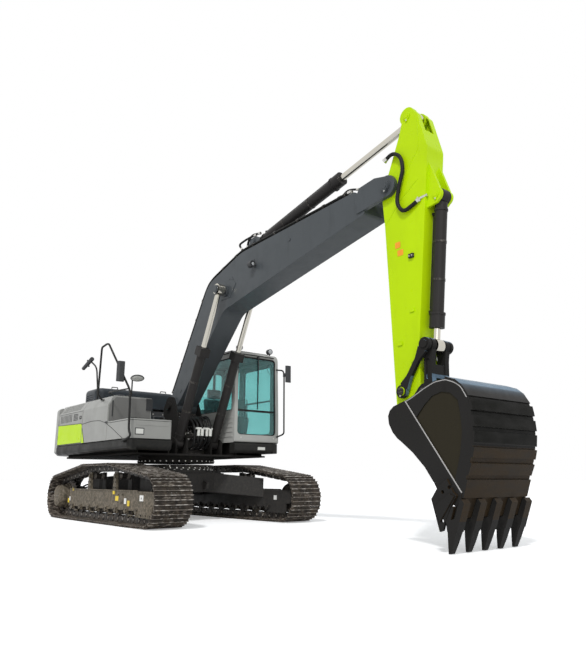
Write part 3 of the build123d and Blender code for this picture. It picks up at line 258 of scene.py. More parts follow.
    def tube(self, route, radius, bend=40, sides=12, tint=0, caps=True):
        """Round pipe or hose along a route of points, its corners rounded."""
        path = rounded(route, bend)
        ahead = [(b - a).normalized() for a, b in zip(path, path[1:])]
        along = [ahead[0]] + [(a + b).normalized() for a, b in zip(ahead, ahead[1:])] + [ahead[-1]]
        turn = turn_towards(along[0])
        place = Matrix.Translation(path[0]) @ turn
        made = bmesh.ops.create_circle(self.mesh, cap_ends=False, radius=radius, segments=sides,
                                       matrix=place)
        ring = made["verts"]
        edges = list({e for v in ring for e in v.link_edges})
        faces = []
        ends = [edges]
        for point, before, after in zip(path[1:], along, along[1:]):
            made = bmesh.ops.extrude_edge_only(self.mesh, edges=edges)["geom"]
            fresh = [item for item in made if isinstance(item, bmesh.types.BMVert)]
            faces += [item for item in made if isinstance(item, bmesh.types.BMFace)]
            turn = before.rotation_difference(after).to_matrix().to_4x4() @ turn
            step = Matrix.Translation(point) @ turn @ place.inverted()
            bmesh.ops.transform(self.mesh, matrix=step, verts=fresh)
            place = Matrix.Translation(point) @ turn
            made_edges = [item for item in made if isinstance(item, bmesh.types.BMEdge)]
            kept = set(fresh)
            edges = [e for e in made_edges if e.verts[0] in kept and e.verts[1] in kept]
        ends.append(edges)
        if caps:
            for rim in ends:
                faces += bmesh.ops.contextual_create(self.mesh, geom=rim)["faces"]
        bmesh.ops.recalc_face_normals(self.mesh, faces=faces)
        self.paint(faces, tint)
        return path

    def hose(self, route, radius, bend=60, tint=0, fitting=1, length=46):
        """Hose along a route, with a pressed sleeve and a nut at each end."""
        path = self.tube(route, radius, bend, tint=tint)
        for end, inner in ((path[0], path[1]), (path[-1], path[-2])):
            into = (inner - end).normalized()
            self.bar(end, end + into * length * 0.4, radius * 1.45, sides=6, tint=fitting)
            self.bar(end + into * length * 0.4, end + into * length, radius * 1.22, sides=12,
                     tint=fitting)

    def seal(self, corners, place, across="Y", radius=12, tint=0):
        """Rubber bead round an opening, along its rounded outline of (a, b, radius) rows."""
        first, second, third = self.AXES[across]
        route = []
        for a, b, *_ in [*corners, corners[0]]:
            point = [0, 0, 0]
            point[first], point[second], point[third] = a, b, place
            route.append(Vector(point))
        middle = (route[0] + route[1]) / 2
        self.tube([middle, *route[1:], middle], radius, max(corners[0][2], 10), 8, tint, caps=False)

    def finish(self, body, soft=2.0, segments=2, replaces=()):
        """Moves the piece into the machine's frame, softens its edges and lets it ride."""
        self.mesh.transform(TO_MACHINE)
        return settle(self.mesh, self.name, self.finishes, body, soft, segments, replaces)


def settle(mesh, name, finishes, body, soft, segments=2, replaces=()):
    """Makes the finished object from a mesh in metres: smooth faces, soft edges, body, finish."""
    for face in mesh.faces:
        face.smooth = True
    for edge in mesh.edges:
        edge.smooth = edge.calc_face_angle(0) < CREASE_ANGLE
    data = bpy.data.meshes.new(name)
    mesh.to_mesh(data)
    mesh.free()
    piece = bpy.data.objects.new(name, data)
    bpy.context.scene.collection.objects.link(piece)
    for finish in finishes:
        data.materials.append(FINISHES[finish])
    if soft:
        edge = piece.modifiers.new("soft_edges", "BEVEL")
        edge.width = soft / 1000 * bpy.context.scene.excavator.edge_softness
        edge.segments = segments
        edge.limit_method = "ANGLE"
        edge.angle_limit = CREASE_ANGLE
        edge.harden_normals = True
        edge.use_clamp_overlap = True
    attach(piece, body)
    if replaces:
        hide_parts(*replaces)
    return piece


def dressed(node, finish, soft):
    """A CAD node's own shape with merged faces, soft edges and its finish, in place of the node."""
    source = frame["nodes"][node]
    mesh = bmesh.new()
    mesh.from_mesh(source.data)
    bmesh.ops.remove_doubles(mesh, verts=mesh.verts, dist=1e-5)
    bmesh.ops.dissolve_limit(
        mesh, angle_limit=FLAT_ANGLE, use_dissolve_boundaries=False,
        verts=mesh.verts, edges=mesh.edges, delimit=set(),
    )
    settle(mesh, f"{node}_shape", (finish,), source["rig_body"], soft, replaces=(node,))


# ---- finishes -------------------------------------------------------------------------------
class Finish:
    """Builds one procedural finish from object coordinates, which are the machine's metres."""

    def __init__(self, name, colour, roughness=0.5, metal=0.0, **sockets):
        self.material = bpy.data.materials.new(name)
        self.material.use_nodes = True
        self.tree = self.material.node_tree
        self.shader = self.tree.nodes["Principled BSDF"]
        self.shader.inputs["Base Color"].default_value = (*colour, 1)
        self.shader.inputs["Roughness"].default_value = roughness
        self.shader.inputs["Metallic"].default_value = metal
        for socket, value in sockets.items():
            self.shader.inputs[socket.replace("_", " ")].default_value = value
        self.coordinates = self.tree.nodes.new("ShaderNodeTexCoord").outputs["Object"]
        FINISHES[name] = self.material

    def node(self, kind, **settings):
        node = self.tree.nodes.new(kind)
        for key, value in settings.items():
            setattr(node, key, value)
        return node

    def link(self, source, target):
        self.tree.links.new(source, target)

    def noise(self, scale, detail, stretch=(1, 1, 1)):
        """Noise over the machine, its scale per metre, stretched along the axes."""
        mapping = self.node("ShaderNodeMapping")
        mapping.inputs["Scale"].default_value = stretch
        self.link(self.coordinates, mapping.inputs["Vector"])
        noise = self.node("ShaderNodeTexNoise")
        noise.inputs["Scale"].default_value = scale
        noise.inputs["Detail"].default_value = detail
        noise.inputs["Roughness"].default_value = 0.55
        self.link(mapping.outputs["Vector"], noise.inputs["Vector"])
        return noise.outputs["Fac"]

    def remap(self, value, low, high, to_low=0.0, to_high=1.0):
        """Brings one range of a value to another, clamped."""
        node = self.node("ShaderNodeMapRange", clamp=True)
        self.link(value, node.inputs["Value"])
        for socket, number in (("From Min", low), ("From Max", high),
                               ("To Min", to_low), ("To Max", to_high)):
            node.inputs[socket].default_value = number
        return node.outputs["Result"]

    def maths(self, operation, first, second):
        node = self.node("ShaderNodeMath", operation=operation, use_clamp=True)
        for socket, value in zip(node.inputs, (first, second)):
            if isinstance(value, (int, float)):
                socket.default_value = value
            else:
                self.link(value, socket)
        return node.outputs["Value"]

    def height(self, low, high, to_low=0.0, to_high=1.0):
        """Value that runs with height above the ground, in metres."""
        split = self.node("ShaderNodeSeparateXYZ")
        self.link(self.coordinates, split.inputs["Vector"])
        return self.remap(split.outputs["Z"], low, high, to_low, to_high)

    def facing(self, axis, low, high, both=False):
        """Value that runs with how far the surface faces along one axis, or both ways along it."""
        split = self.node("ShaderNodeSeparateXYZ")
        self.link(self.node("ShaderNodeNewGeometry").outputs["Normal"], split.inputs["Vector"])
        value = split.outputs[axis]
        if both:
            value = self.size_of(value)
        return self.remap(value, low, high)

    def size_of(self, value):
        """Value without its sign."""
        node = self.node("ShaderNodeMath", operation="ABSOLUTE")
        self.link(value, node.inputs[0])
        return node.outputs["Value"]

    def within(self, axis, low, high):
        """Value that is one between two distances along an axis, on either side of zero."""
        split = self.node("ShaderNodeSeparateXYZ")
        self.link(self.coordinates, split.inputs["Vector"])
        place = self.size_of(split.outputs[axis])
        rise = self.remap(place, low - 0.002, low)
        return self.maths("MULTIPLY", rise, self.remap(place, high, high + 0.002, 1, 0))

    def edges(self):
        """Value that is high on convex edges."""
        return self.remap(self.node("ShaderNodeNewGeometry").outputs["Pointiness"], 0.52, 0.6)

    def tinted(self, factor, colour):
        """Mixes a colour over the base colour by a factor."""
        mix = self.node("ShaderNodeMix", data_type="RGBA")
        base = self.shader.inputs["Base Color"]
        if base.links:
            self.link(base.links[0].from_socket, mix.inputs["A"])
        else:
            mix.inputs["A"].default_value = tuple(base.default_value)
        mix.inputs["B"].default_value = (*colour, 1)
        self.link(factor, mix.inputs["Factor"])
        self.link(mix.outputs["Result"], base)

    def rough(self, noise, low, high, smooth, coarse):
        """Roughness that wanders between two values as a noise does between two of its own."""
        self.link(self.remap(noise, low, high, smooth, coarse), self.shader.inputs["Roughness"])

    def bump(self, height, strength, distance=0.002):
        bump = self.node("ShaderNodeBump")
        bump.inputs["Strength"].default_value = strength
        bump.inputs["Distance"].default_value = distance
        self.link(height, bump.inputs["Height"])
        before = self.shader.inputs["Normal"]
        if before.links:
            self.link(before.links[0].from_socket, bump.inputs["Normal"])
        self.link(bump.outputs["Normal"], before)


def painted(name, colour, roughness=0.36, dust=0.35, dust_top=1.4, grime=0.25, shine=0.22):
    """Sprayed machine paint: orange peel, slow shade changes, road dust low down, light grime."""
    finish = Finish(name, colour, roughness, Specular_IOR_Level=shine)
    darker = tuple(c * 0.82 for c in colour)
    finish.tinted(finish.remap(finish.noise(1.7, 3), 0.35, 0.75, 0, 0.5), darker)
    streaks = finish.noise(9, 5, (1, 1, 0.18))
    finish.tinted(finish.remap(streaks, 0.56, 0.78, 0, grime), tuple(c * 0.45 for c in colour))
    low = finish.height(0.2, dust_top, dust, 0)
    speckle = finish.remap(finish.noise(26, 6), 0.42, 0.72)
    finish.tinted(finish.maths("MULTIPLY", low, speckle), (0.33, 0.27, 0.2))
    finish.rough(finish.noise(6, 5), 0.3, 0.75, roughness - 0.06, roughness + 0.16)
    finish.bump(finish.noise(420, 2), 0.12, 0.0006)
    finish.bump(finish.noise(3, 2), 0.06, 0.02)
    return finish


def worn_metal(name, colour, bright, roughness=0.55, wear=0.7, dust=0.5, dust_top=0.9):
    """Dark steel with scuffed edges, rubbed patches and dust in its corners."""
    finish = Finish(name, colour, roughness, metal=0.2, Specular_IOR_Level=0.2)
    finish.tinted(finish.remap(finish.noise(5, 5), 0.4, 0.7, 0, 0.55), tuple(c * 0.6 for c in colour))
    low = finish.height(0.0, dust_top, dust, 0.05)
    patches = finish.remap(finish.noise(11, 6), 0.45, 0.7)
    finish.tinted(finish.maths("MULTIPLY", low, patches), (0.27, 0.2, 0.14))
    scuffs = finish.remap(finish.noise(38, 6, (1, 0.35, 1)), 0.5, 0.62)
    rubbed = finish.maths("MULTIPLY", finish.edges(), finish.maths("MULTIPLY", scuffs, wear))
    finish.tinted(rubbed, bright)
    finish.rough(finish.noise(14, 6), 0.35, 0.7, roughness - 0.15, roughness + 0.2)
    finish.bump(finish.noise(160, 5), 0.25, 0.0015)
    return finish


def bucket_paint():
    """Black bucket paint: brown sunk side panels, a painted sky reflection on the top band and on upward
    faces near the top, a near-black middle band and an earth-stained lower band.
    """
    finish = painted("bucket_black", (0.02, 0.019, 0.018), 0.3, dust=0, grime=0.5, shine=0.05)
    sides = finish.facing("Y", 0.7, 0.8, both=True)
    sunk = finish.maths("MULTIPLY", sides, finish.within("Y", 0.515, 0.529))
    finish.tinted(finish.maths("MULTIPLY", sunk, 0.85), (0.026, 0.022, 0.013))
    outer = finish.facing("X", 0.25, 0.4)
    # Bands on forward-facing faces: the first row is a painted sky reflection, the second makes the middle
    # band near black, the third is an earth-brown stain low down.
    for low, high, colour, share in ((1.59, 1.8, (0.13, 0.2, 0.27), 1.0),
                                     (1.02, 1.44, (0.003, 0.003, 0.002), 0.95),
                                     (0.3, 0.99, (0.034, 0.022, 0.011), 0.85)):
        rows = finish.maths("MULTIPLY", outer, finish.within("Z", low, high))
        patchy = finish.remap(finish.noise(4, 4, (1, 1, 3)), 0.3, 0.6, 0.5, 1)
        finish.tinted(finish.maths("MULTIPLY", rows, finish.maths("MULTIPLY", patchy, share)), colour)
    # Painted sky reflection: upward faces near the top are tinted blue-grey.
    top = finish.maths("MULTIPLY", finish.facing("Z", 0.55, 0.8), finish.height(1.5, 1.6))
    finish.tinted(finish.maths("MULTIPLY", top, 0.85), (0.13, 0.19, 0.25))
    return finish


def make_finishes(chosen):
    """All finishes of the machine, by name, with the user's colours in them."""
    FINISHES.clear()
    # The cab's grey is the panel grey made 1.3 times lighter: painted light that makes up for the boom's
    # shadow on the cab.
    for name, lift in (("panel_grey", 1.0), ("cab_grey_painted_lighter", 1.3)):
        panels = painted(name, [part * lift for part in chosen.panel_grey], 0.34, grime=0.2)
        # Painted shade: faces that look downwards are darkened almost to black.
        panels.tinted(panels.facing("Z", -0.6, -0.8), (0.03, 0.029, 0.027))
    painted("deck_black", (0.018, 0.018, 0.017), 0.42, dust=0.15, shine=0.12)
    painted("belly_black", (0.022, 0.021, 0.02), 0.85, dust=0.1, shine=0.02)
    painted("hood_slate", (0.032, 0.038, 0.044), 0.4, dust=0)
    painted("boom_slate", chosen.boom_slate, 0.34, dust=0, grime=0.35)
    painted("stick_green", chosen.stick_green, 0.3, dust=0, grime=0.12, shine=0.12)
    frame_paint = painted("frame_brown", (0.085, 0.072, 0.052), 0.55, dust=0.6, dust_top=1.3, grime=0.6)
    # Painted shade: parts less than 1.2 m out from the middle, such as the track frames' inner sides and
    # the car body, are darkened.
    inner = frame_paint.within("Y", 0.0, 1.2)
    frame_paint.tinted(frame_paint.maths("MULTIPLY", inner, 0.88), (0.018, 0.018, 0.019))
    painted("cylinder_paint", (0.026, 0.024, 0.023), 0.38, dust=0.05, grime=0.3, shine=0.12)
    bucket_paint()
    painted("label_yellow", (0.75, 0.55, 0.03), 0.4, dust=0.2)
    painted("label_white", (0.75, 0.75, 0.72), 0.4, dust=0.1)
    painted("orange_patch", (0.85, 0.33, 0.03), 0.4, dust=0)
    worn_metal("track_steel", (0.034, 0.028, 0.023), (0.3, 0.26, 0.22), 0.5, 0.9, dust=0.25)
    worn_metal("cast_dark", (0.026, 0.024, 0.022), (0.24, 0.22, 0.2), 0.5, 0.5, dust=0.3)
    worn_metal("grouser_steel", (0.17, 0.15, 0.13), (0.55, 0.52, 0.48), 0.42, 0.9, dust=0.4)
    worn_metal("rubbed_steel", (0.22, 0.2, 0.18), (0.5, 0.47, 0.44), 0.38, 0.6, dust=0.5)
    painted("lamp_red", (0.5, 0.01, 0.01), 0.2, dust=0.1)
    # Painted highlight for the bucket's edges.
    painted("painted_edge_highlight", (0.34, 0.33, 0.32), 0.3, dust=0, grime=0.2)
    painted("display_glass", (0.02, 0.05, 0.05), 0.1, dust=0)
    # Painted shade for the fuel tank's front face.
    painted("painted_shade_grey", (0.17, 0.168, 0.16), 0.45, dust=0.1, grime=0.3)
    # Dark seams, and painted shade along the body crease and behind the grille slots.
    painted("seam_and_shade_dark", (0.05, 0.05, 0.048), 0.6, dust=0)
    painted("sleeve_white", (0.62, 0.62, 0.58), 0.5, dust=0.1, grime=0.5)
    bright = Finish("bright_steel", (0.62, 0.61, 0.58), 0.3, metal=1.0)
    bright.tinted(bright.remap(bright.noise(30, 6), 0.5, 0.75, 0, 0.6), (0.3, 0.26, 0.22))
    bright.rough(bright.noise(60, 5), 0.3, 0.7, 0.2, 0.5)
    chrome = Finish("rod_chrome", (0.6, 0.57, 0.5), 0.1, metal=1.0)
    chrome.rough(chrome.noise(20, 6, (1, 1, 6)), 0.4, 0.7, 0.05, 0.2)
    rubber = Finish("hose_rubber", (0.01, 0.01, 0.01), 0.5, Specular_IOR_Level=0.2)
    rubber.bump(rubber.noise(700, 3), 0.3, 0.0008)
    rubber.rough(rubber.noise(25, 4), 0.3, 0.7, 0.45, 0.7)
    plastic = Finish("moulded_plastic", (0.022, 0.023, 0.025), 0.5)
    plastic.bump(plastic.noise(900, 2), 0.25, 0.0005)
    plastic.rough(plastic.noise(12, 4), 0.3, 0.7, 0.42, 0.6)
    seat = Finish("seat_cloth", (0.03, 0.03, 0.034), 0.85, Sheen_Weight=0.4)
    seat.bump(seat.noise(600, 2), 0.5, 0.001)
    glass = Finish("cab_glass", chosen.glass_tint, 0.03, Transmission_Weight=0.92, IOR=1.3)
    glass.tinted(glass.remap(glass.noise(3, 3), 0.4, 0.8, 0, 0.25), (0.3, 0.62, 0.62))
    glass.rough(glass.noise(7, 4), 0.4, 0.8, 0.02, 0.08)
    mirror = Finish("mirror_glass", (0.8, 0.84, 0.86), 0.04, metal=1.0)
    mirror.rough(mirror.noise(9, 4), 0.4, 0.8, 0.02, 0.08)
    lens = Finish("lamp_lens", (0.8, 0.82, 0.84), 0.08, Transmission_Weight=0.5)
    lens.bump(lens.noise(120, 0), 0.4, 0.001)


# ---- the user's choices ---------------------------------------------------------------------
def colour_choice(name, description, default):
    """Colour property with its swatch."""
    return bpy.props.FloatVectorProperty(name=name, description=description, subtype="COLOR",
                                         size=3, min=0, max=1, default=default)


class ExcavatorSettings(bpy.types.PropertyGroup):
    """Colours of the painted metal and glass, and sizes of the fine detail."""

    panel_grey: colour_choice("Panels", "Side panels, doors and cab", (0.285, 0.285, 0.268))
    boom_slate: colour_choice("Boom", "Boom plates", (0.056, 0.063, 0.068))
    stick_green: colour_choice("Stick", "Stick and rear side stripe", (0.45, 0.66, 0.002))
    glass_tint: colour_choice("Glass", "Panes of the cab", (0.42, 0.75, 0.74))
    edge_softness: bpy.props.FloatProperty(
        name="Edge softness", description="Scale of every soft edge", min=0.2, max=3, default=1)
    stud_pitch: bpy.props.FloatProperty(
        name="Stud pitch", description="Spacing of the treads' studs in millimetres", min=30,
        max=200, default=58)
    hose_radius: bpy.props.FloatProperty(
        name="Main hoses", description="Radius of the main hoses in millimetres", min=8, max=30,
        default=19)


class EXCAVATOR_OT_finishes(bpy.types.Operator):
    """Make every finish of the machine"""

    bl_idname = "excavator.finishes"
    bl_label = "Finishes"

    def execute(self, context):
        make_finishes(context.scene.excavator)
        return {"FINISHED"}


# ---- undercarriage --------------------------------------------------------------------------
TRACK_Y = 1195
SHOE_PITCH = 190
SHOE_HALF_WIDTH = 300
GROUSER_TIP = 24
ROLLER_X = [(index - 3.5) * 375 for index in range(8)]
ROLLER_Z = 214
CARRIER_X = (-550, 500)
CARRIER_Z = 738
END_WHEEL_X, END_WHEEL_Z = 1845, 388
BELT_WHEELS = (  # x, z, radius of the shoe plates' outer face, in running order
    (ROLLER_X[-1], ROLLER_Z, 188), (END_WHEEL_X, END_WHEEL_Z, 352), (CARRIER_X[1], CARRIER_Z, 173),
    (CARRIER_X[0], CARRIER_Z, 173), (-END_WHEEL_X, END_WHEEL_Z, 352), (ROLLER_X[0], ROLLER_Z, 188),
)
SHOE_SECTION = (  # along the shoe, outwards
    (-92, -12), (88, -14), (96, -6), (96, 2), (84, 1), (77, 7), (73, 25), (63, 25), (59, 7),
    (50, 0), (18, 0), (9, 7), (5, 25), (-5, 25), (-9, 7), (-18, 0), (-50, 0), (-59, 7), (-63, 25),
    (-73, 25), (-77, 7), (-84, 0), (-94, -4),
)
LINK_SECTION = (
    (-92, -40), (-70, -14), (70, -14), (92, -40), (112, -46), (118, -66), (106, -84), (84, -90),
    (62, -104), (-62, -104), (-84, -90), (-106, -84), (-118, -66), (-112, -46),
)


def belt_stations(wheels):
    """Shoe places round the belt, as (x, z, heading), one shoe pitch apart."""
    legs = []
    for (x1, z1, r1), (x2, z2, r2) in zip(wheels, wheels[1:] + wheels[:1]):
        gap = math.hypot(x2 - x1, z2 - z1)
        normal = math.atan2(z2 - z1, x2 - x1) - math.pi / 2 + math.asin((r1 - r2) / gap)
        legs.append((normal, math.sqrt(gap**2 - (r1 - r2) ** 2)))
    spans = []
    for index, (x, z, radius) in enumerate(wheels):
        normal, length = legs[index]
        turn = (normal - legs[index - 1][0]) % (2 * math.pi)
        spans.append((x, z, radius, normal - turn, radius * turn, turn))
        spans.append((x, z, radius, normal, length, 0))
    total = sum(span[4] for span in spans)
    count = round(total / SHOE_PITCH)
    for shoe in range(count):
        along = (shoe + 0.5) * total / count
        for x, z, radius, normal, length, turn in spans:
            if along <= length:
                break
            along -= length
        angle = normal + (along / radius if turn else 0)
        run = 0 if turn else along
        yield (x + radius * math.cos(angle) - run * math.sin(angle),
               z + radius * math.sin(angle) + run * math.cos(angle), angle + math.pi / 2)


def shoe_template():
    """One shoe with its three grousers, four bolts and its pair of chain links."""
    shoe = Piece("shoe_template")
    shoe.plate(SHOE_SECTION, -SHOE_HALF_WIDTH, SHOE_HALF_WIDTH)
    shoe.paint([face for face in shoe.mesh.faces if face.calc_center_median().z > GROUSER_TIP], 1)
    for side in (1, -1):
        shoe.plate(LINK_SECTION, *standing(side * 52, side * 32), tint=2)
        shoe.pin((95, -62), 20, *standing(side * 84, side * 8), sides=12, tint=1)
        shoe.bolts([(x, side * y, 0) for x in (-34, 34) for y in (38, 98)], UP, 15, tint=2,
                   washer=False)
    shoe.pin((95, -62), 27, -52, 52, sides=12, tint=2)
    return shoe.template()


ROLLER_ROWS = (  # radius, distance from the middle
    (0, -112), (40, -112), (44, -106), (90, -105), (93, -101), (90, -97), (76, -94), (76, -46),
    (68, -40), (68, 40), (76, 46), (76, 94), (90, 97), (93, 101), (90, 105), (44, 106), (40, 112),
    (0, 112),
)
CARRIER_ROWS = (
    (0, -112), (30, -112), (34, -104), (66, -103), (66, -96), (55, -92), (55, -44), (46, -38),
    (46, 38), (55, 44), (55, 92), (66, 96), (66, 103), (34, 104), (30, 112), (0, 112),
)
IDLER_ROWS = (
    (0, -111), (84, -111), (88, -104), (88, -72), (150, -58), (196, -66), (206, -90), (222, -91),
    (225, -87), (225, -44), (249, -38), (250, 0), (249, 38), (225, 44), (225, 87), (222, 91),
    (206, 90), (196, 66), (150, 58), (88, 72), (88, 104), (84, 111), (0, 111),
)
FINAL_DRIVE_ROWS = (  # radius, distance outwards from the middle of the track
    (160, 30), (228, 34), (228, 58), (214, 64), (210, 96), (198, 100), (196, 176), (188, 186),
    (182, 228), (170, 242), (120, 256), (60, 259), (0, 259),
)
SPROCKET_TEETH = 19
TOOTH_PROFILE = ((-0.5, 234), (-0.27, 240), (-0.13, 280), (0, 285), (0.13, 280), (0.27, 240))
TREAD_BAND = (44, 94)  # the rollers' and idlers' rubbed rims, off the middle of the track


class EXCAVATOR_OT_tracks(bpy.types.Operator):
    """Lay the triple grouser shoes and chain links round both tracks"""

    bl_idname = "excavator.tracks"
    bl_label = "Tracks"

    def execute(self, context):
        template = shoe_template()
        for side, hand in (("left", 1), ("right", -1)):
            track = Piece(f"track_{side}_shoes", "track_steel", "grouser_steel", "cast_dark")
            for x, z, heading in belt_stations(BELT_WHEELS):
                cos, sin = math.cos(heading), math.sin(heading)
                place = Matrix(((cos, 0, sin, x), (0, -1, 0, hand * TRACK_Y), (sin, 0, -cos, z),
                                (0, 0, 0, 1)))
                track.stamp(template, place)
            track.finish("undercarriage", soft=1.6, segments=1, replaces=(f"track_{side}",))
        bpy.data.meshes.remove(template)
        return {"FINISHED"}


class EXCAVATOR_OT_track_wheels(bpy.types.Operator):
    """Turn the idlers, rollers and sprockets and bolt up the final drives"""

    bl_idname = "excavator.track_wheels"
    bl_label = "Track wheels"

    def execute(self, context):
        rollers = Piece("track_roller_set", "cast_dark", "rubbed_steel")
        idlers = Piece("idler_pair", "cast_dark", "rubbed_steel")
        drives = Piece("final_drive_pair", "frame_brown", "rubbed_steel")
        for hand in (1, -1):
            y = hand * TRACK_Y
            for x in ROLLER_X:
                rollers.turned(ROLLER_ROWS, (x, y, ROLLER_Z), ACROSS, sides=28)
            for x in CARRIER_X:
                rollers.turned(CARRIER_ROWS, (x, y, CARRIER_Z), ACROSS, sides=24)
            idlers.turned(IDLER_ROWS, (END_WHEEL_X, y, END_WHEEL_Z), ACROSS, sides=48)
            hub, out = Vector((-END_WHEEL_X, y, END_WHEEL_Z)), Vector((0, hand, 0))
            drives.turned(FINAL_DRIVE_ROWS, hub, out, sides=48)
            drives.turned(((0, 108), (150, 108), (168, 100), (170, 30), (160, 30)), hub, -out, sides=40)
            angles = [(2 * math.pi * (tooth + share) / SPROCKET_TEETH, radius)
                      for tooth in range(SPROCKET_TEETH) for share, radius in TOOTH_PROFILE]
            drives.plate([(hub.x + radius * math.cos(angle), hub.z + radius * math.sin(angle))
                          for angle, radius in angles], y - 33, y + 33, tint=1)
            for count, height, radius, size, tint in ((22, 58, 218, 11, 0), (10, 246, 150, 11, 0),
                                                      (2, 256, 62, 16, 1)):
                drives.bolts(on_ring(count, hub + out * height, ACROSS, radius), out, size, tint=tint)
        for piece in (rollers, idlers):
            for face in piece.mesh.faces:
                off = abs(abs(face.calc_center_median().y) - TRACK_Y)
                if TREAD_BAND[0] < off < TREAD_BAND[1] and abs(face.normal.y) < 0.2:
                    face.material_index = 1
        rollers.finish("undercarriage", soft=2, segments=1, replaces=("track_rollers",))
        idlers.finish("undercarriage", soft=3, replaces=("idlers",))
        drives.finish("undercarriage", soft=2, segments=1, replaces=("sprockets",))
        return {"FINISHED"}


LABELS = (  # x, z, half length, half height, colour: 1 yellow, 2 pale
    (-1308, 508, 26, 20, 1), (-1446, 346, 22, 36, 2), (-1512, 312, 24, 38, 1),
    (470, 478, 34, 26, 1), (606, 392, 58, 36, 1), (912, 358, 34, 42, 2), (1026, 327, 34, 40, 1),
    (1471, 412, 56, 42, 2),
)


class EXCAVATOR_OT_track_frames(bpy.types.Operator):
    """Fit guards, bolts, grease covers and blank labels to the track frames"""

    bl_idname = "excavator.track_frames"
    bl_label = "Track frames"

    def execute(self, context):
        guards = Piece("track_frame_guards", "frame_brown", "cast_dark")
        labels = Piece("track_frame_labels", "cast_dark", "label_yellow", "label_white")
        for hand in (1, -1):
            outside, inner, out = hand * (TRACK_Y + 135), hand * (TRACK_Y - 135), (0, hand, 0)
            for x in ROLLER_X:
                for face, way in ((outside, hand), (inner, -hand)):
                    guards.box((x - 58, x + 58), standing(face, way * 16), (205, 262))
                    guards.bolts([(x + dx, face + way * 16, 234) for dx in (-36, 36)], (0, way, 0), 15,
                                 tint=1)
                    guards.pin((x, ROLLER_Z), 36, *sorted((face - way * 20, face + way * 22)), sides=20)
            for x in CARRIER_X:
                guards.plate(((x - 62, 525, 6), (x + 62, 525, 6), (x + 44, 700, 10), (x - 44, 700, 10)),
                             *standing(outside, hand * 14))
                guards.bolts([(x + dx, outside + hand * 14, z) for dx in (-38, 38) for z in (556, 640)],
                             out, 14, tint=1)
                guards.pin((x, CARRIER_Z), 34, *sorted((outside - hand * 20, outside + hand * 26)),
                           sides=20)
            guards.plate(((1284, 252, 8), (1284, 142, 12), (1790, 132, 20), (1830, 168, 20),
                          (1830, 300, 8), (1700, 300, 8)),
                         *sorted((outside - hand * 4, outside + hand * 12)))
            guards.bolts([(x, outside + hand * 12, 170) for x in (1330, 1480, 1640, 1780)], out, 14,
                         tint=1)
            guards.plate(oblong((-1180, -300), (330, 470), 20), *standing(outside, hand * 5))
            guards.plate(oblong((640, 820), (310, 470), 20), *standing(outside, hand * 7))
            guards.bolts([(x, outside + hand * 7, z) for x in (660, 800) for z in (330, 450)], out, 9,
                         tint=1)
            guards.box((1360, 1940), standing(outside, hand * 10), (482, 500))
            guards.box((-1470, 1330), standing(outside, hand * 12), (504, 522))
            for x in (-1100, -350, 400, 1130):
                guards.box((x - 70, x + 70), standing(outside, hand * 20), (150, 168))
            for x, z, half, tall, tint in LABELS:
                labels.plate(oblong((x - half, x + half), (z - tall, z + tall)),
                             *standing(outside, hand * 9), tint=tint)
            labels.plate(((1452, 398), (1490, 398), (1471, 432)),
                         *sorted((outside + hand * 8, outside + hand * 10)))
            labels.plate(oblong((1500, 1580), (350, 420)), *standing(inner, -hand * 4), tint=2)
        guards.finish("undercarriage", soft=2)
        labels.finish("undercarriage", soft=0.6, segments=1)
        return {"FINISHED"}


class EXCAVATOR_OT_ring(bpy.types.Operator):
    """Bolt the slewing ring down and run the swivel's hoses and travel lines"""

    bl_idname = "excavator.ring"
    bl_label = "Slewing ring"

    def execute(self, context):
        ring = Piece("slew_ring_bolts", "cast_dark", "bright_steel")
        ring.turned(((655, -36), (668, -34), (668, -4), (660, 0), (668, 4), (668, 34), (655, 36)),
                    (0, 0, 888), UP, sides=64)
        ring.bolts(on_ring(36, (0, 0, 851), UP, 640), (0, 0, -1), 17, tint=1)
        ring.bolts(on_ring(36, (0, 0, 868), UP, 668), UP, 1, tint=1)
        self.round_bolts(ring, 872, 668, 13)
        for place in on_ring(6, (0, 0, 900), UP, 668, 0.4):
            ring.bar(place, place + Vector((place.x, place.y, 0)).normalized() * 22, 8, sides=10, tint=1)
        ring.finish("undercarriage", soft=1, segments=1)
        house = Piece("slew_flange_bolts", "deck_black", "bright_steel")
        house.bolts(on_ring(40, (0, 0, 985), UP, 671, 0.05), UP, 1)
        self.round_bolts(house, 985, 670, 14, 0.05)
        house.finish("house", soft=1, segments=1)
        lines = Piece("travel_motor_lines", "hose_rubber", "bright_steel")
        for hand in (1, -1):
            for low in (0, 46):
                lines.hose(((-180, hand * (120 + low), 600), (-420, hand * 200, 520 + low),
                            (-760, hand * 420, 520 + low), (-1250, hand * 900, 560 + low),
                            (-1600, hand * 1010, 540 + low), (-1800, hand * 1040, 440 + low)),
                           15, 120)
        lines.finish("undercarriage", soft=0)
        return {"FINISHED"}

    def round_bolts(self, piece, level, radius, size, first=0.0):
        """Forty bolts that point outwards all round a ring at one level."""
        for place in on_ring(40, (0, 0, level), UP, radius, first):
            piece.bolts([place], (place.x, place.y, 0), size, tint=1, washer=False)


# ---- house ----------------------------------------------------------------------------------
SIDE_Y = 1430
TANK_FACE_X = 240
SKIRT_FRONT = 1120
DECK_TOP, LID_TOP, HOOD_TOP = 2045, 1615, 2400
REAR_FACE = -2749
# Route of the painted shadow line under the body crease.
BODY_CREASE_SHADOW = ((-846, 1634), (-438, 1657), (-76, 1646), (192, 1587), (456, 1487), (711, 1376), (890, 1304))


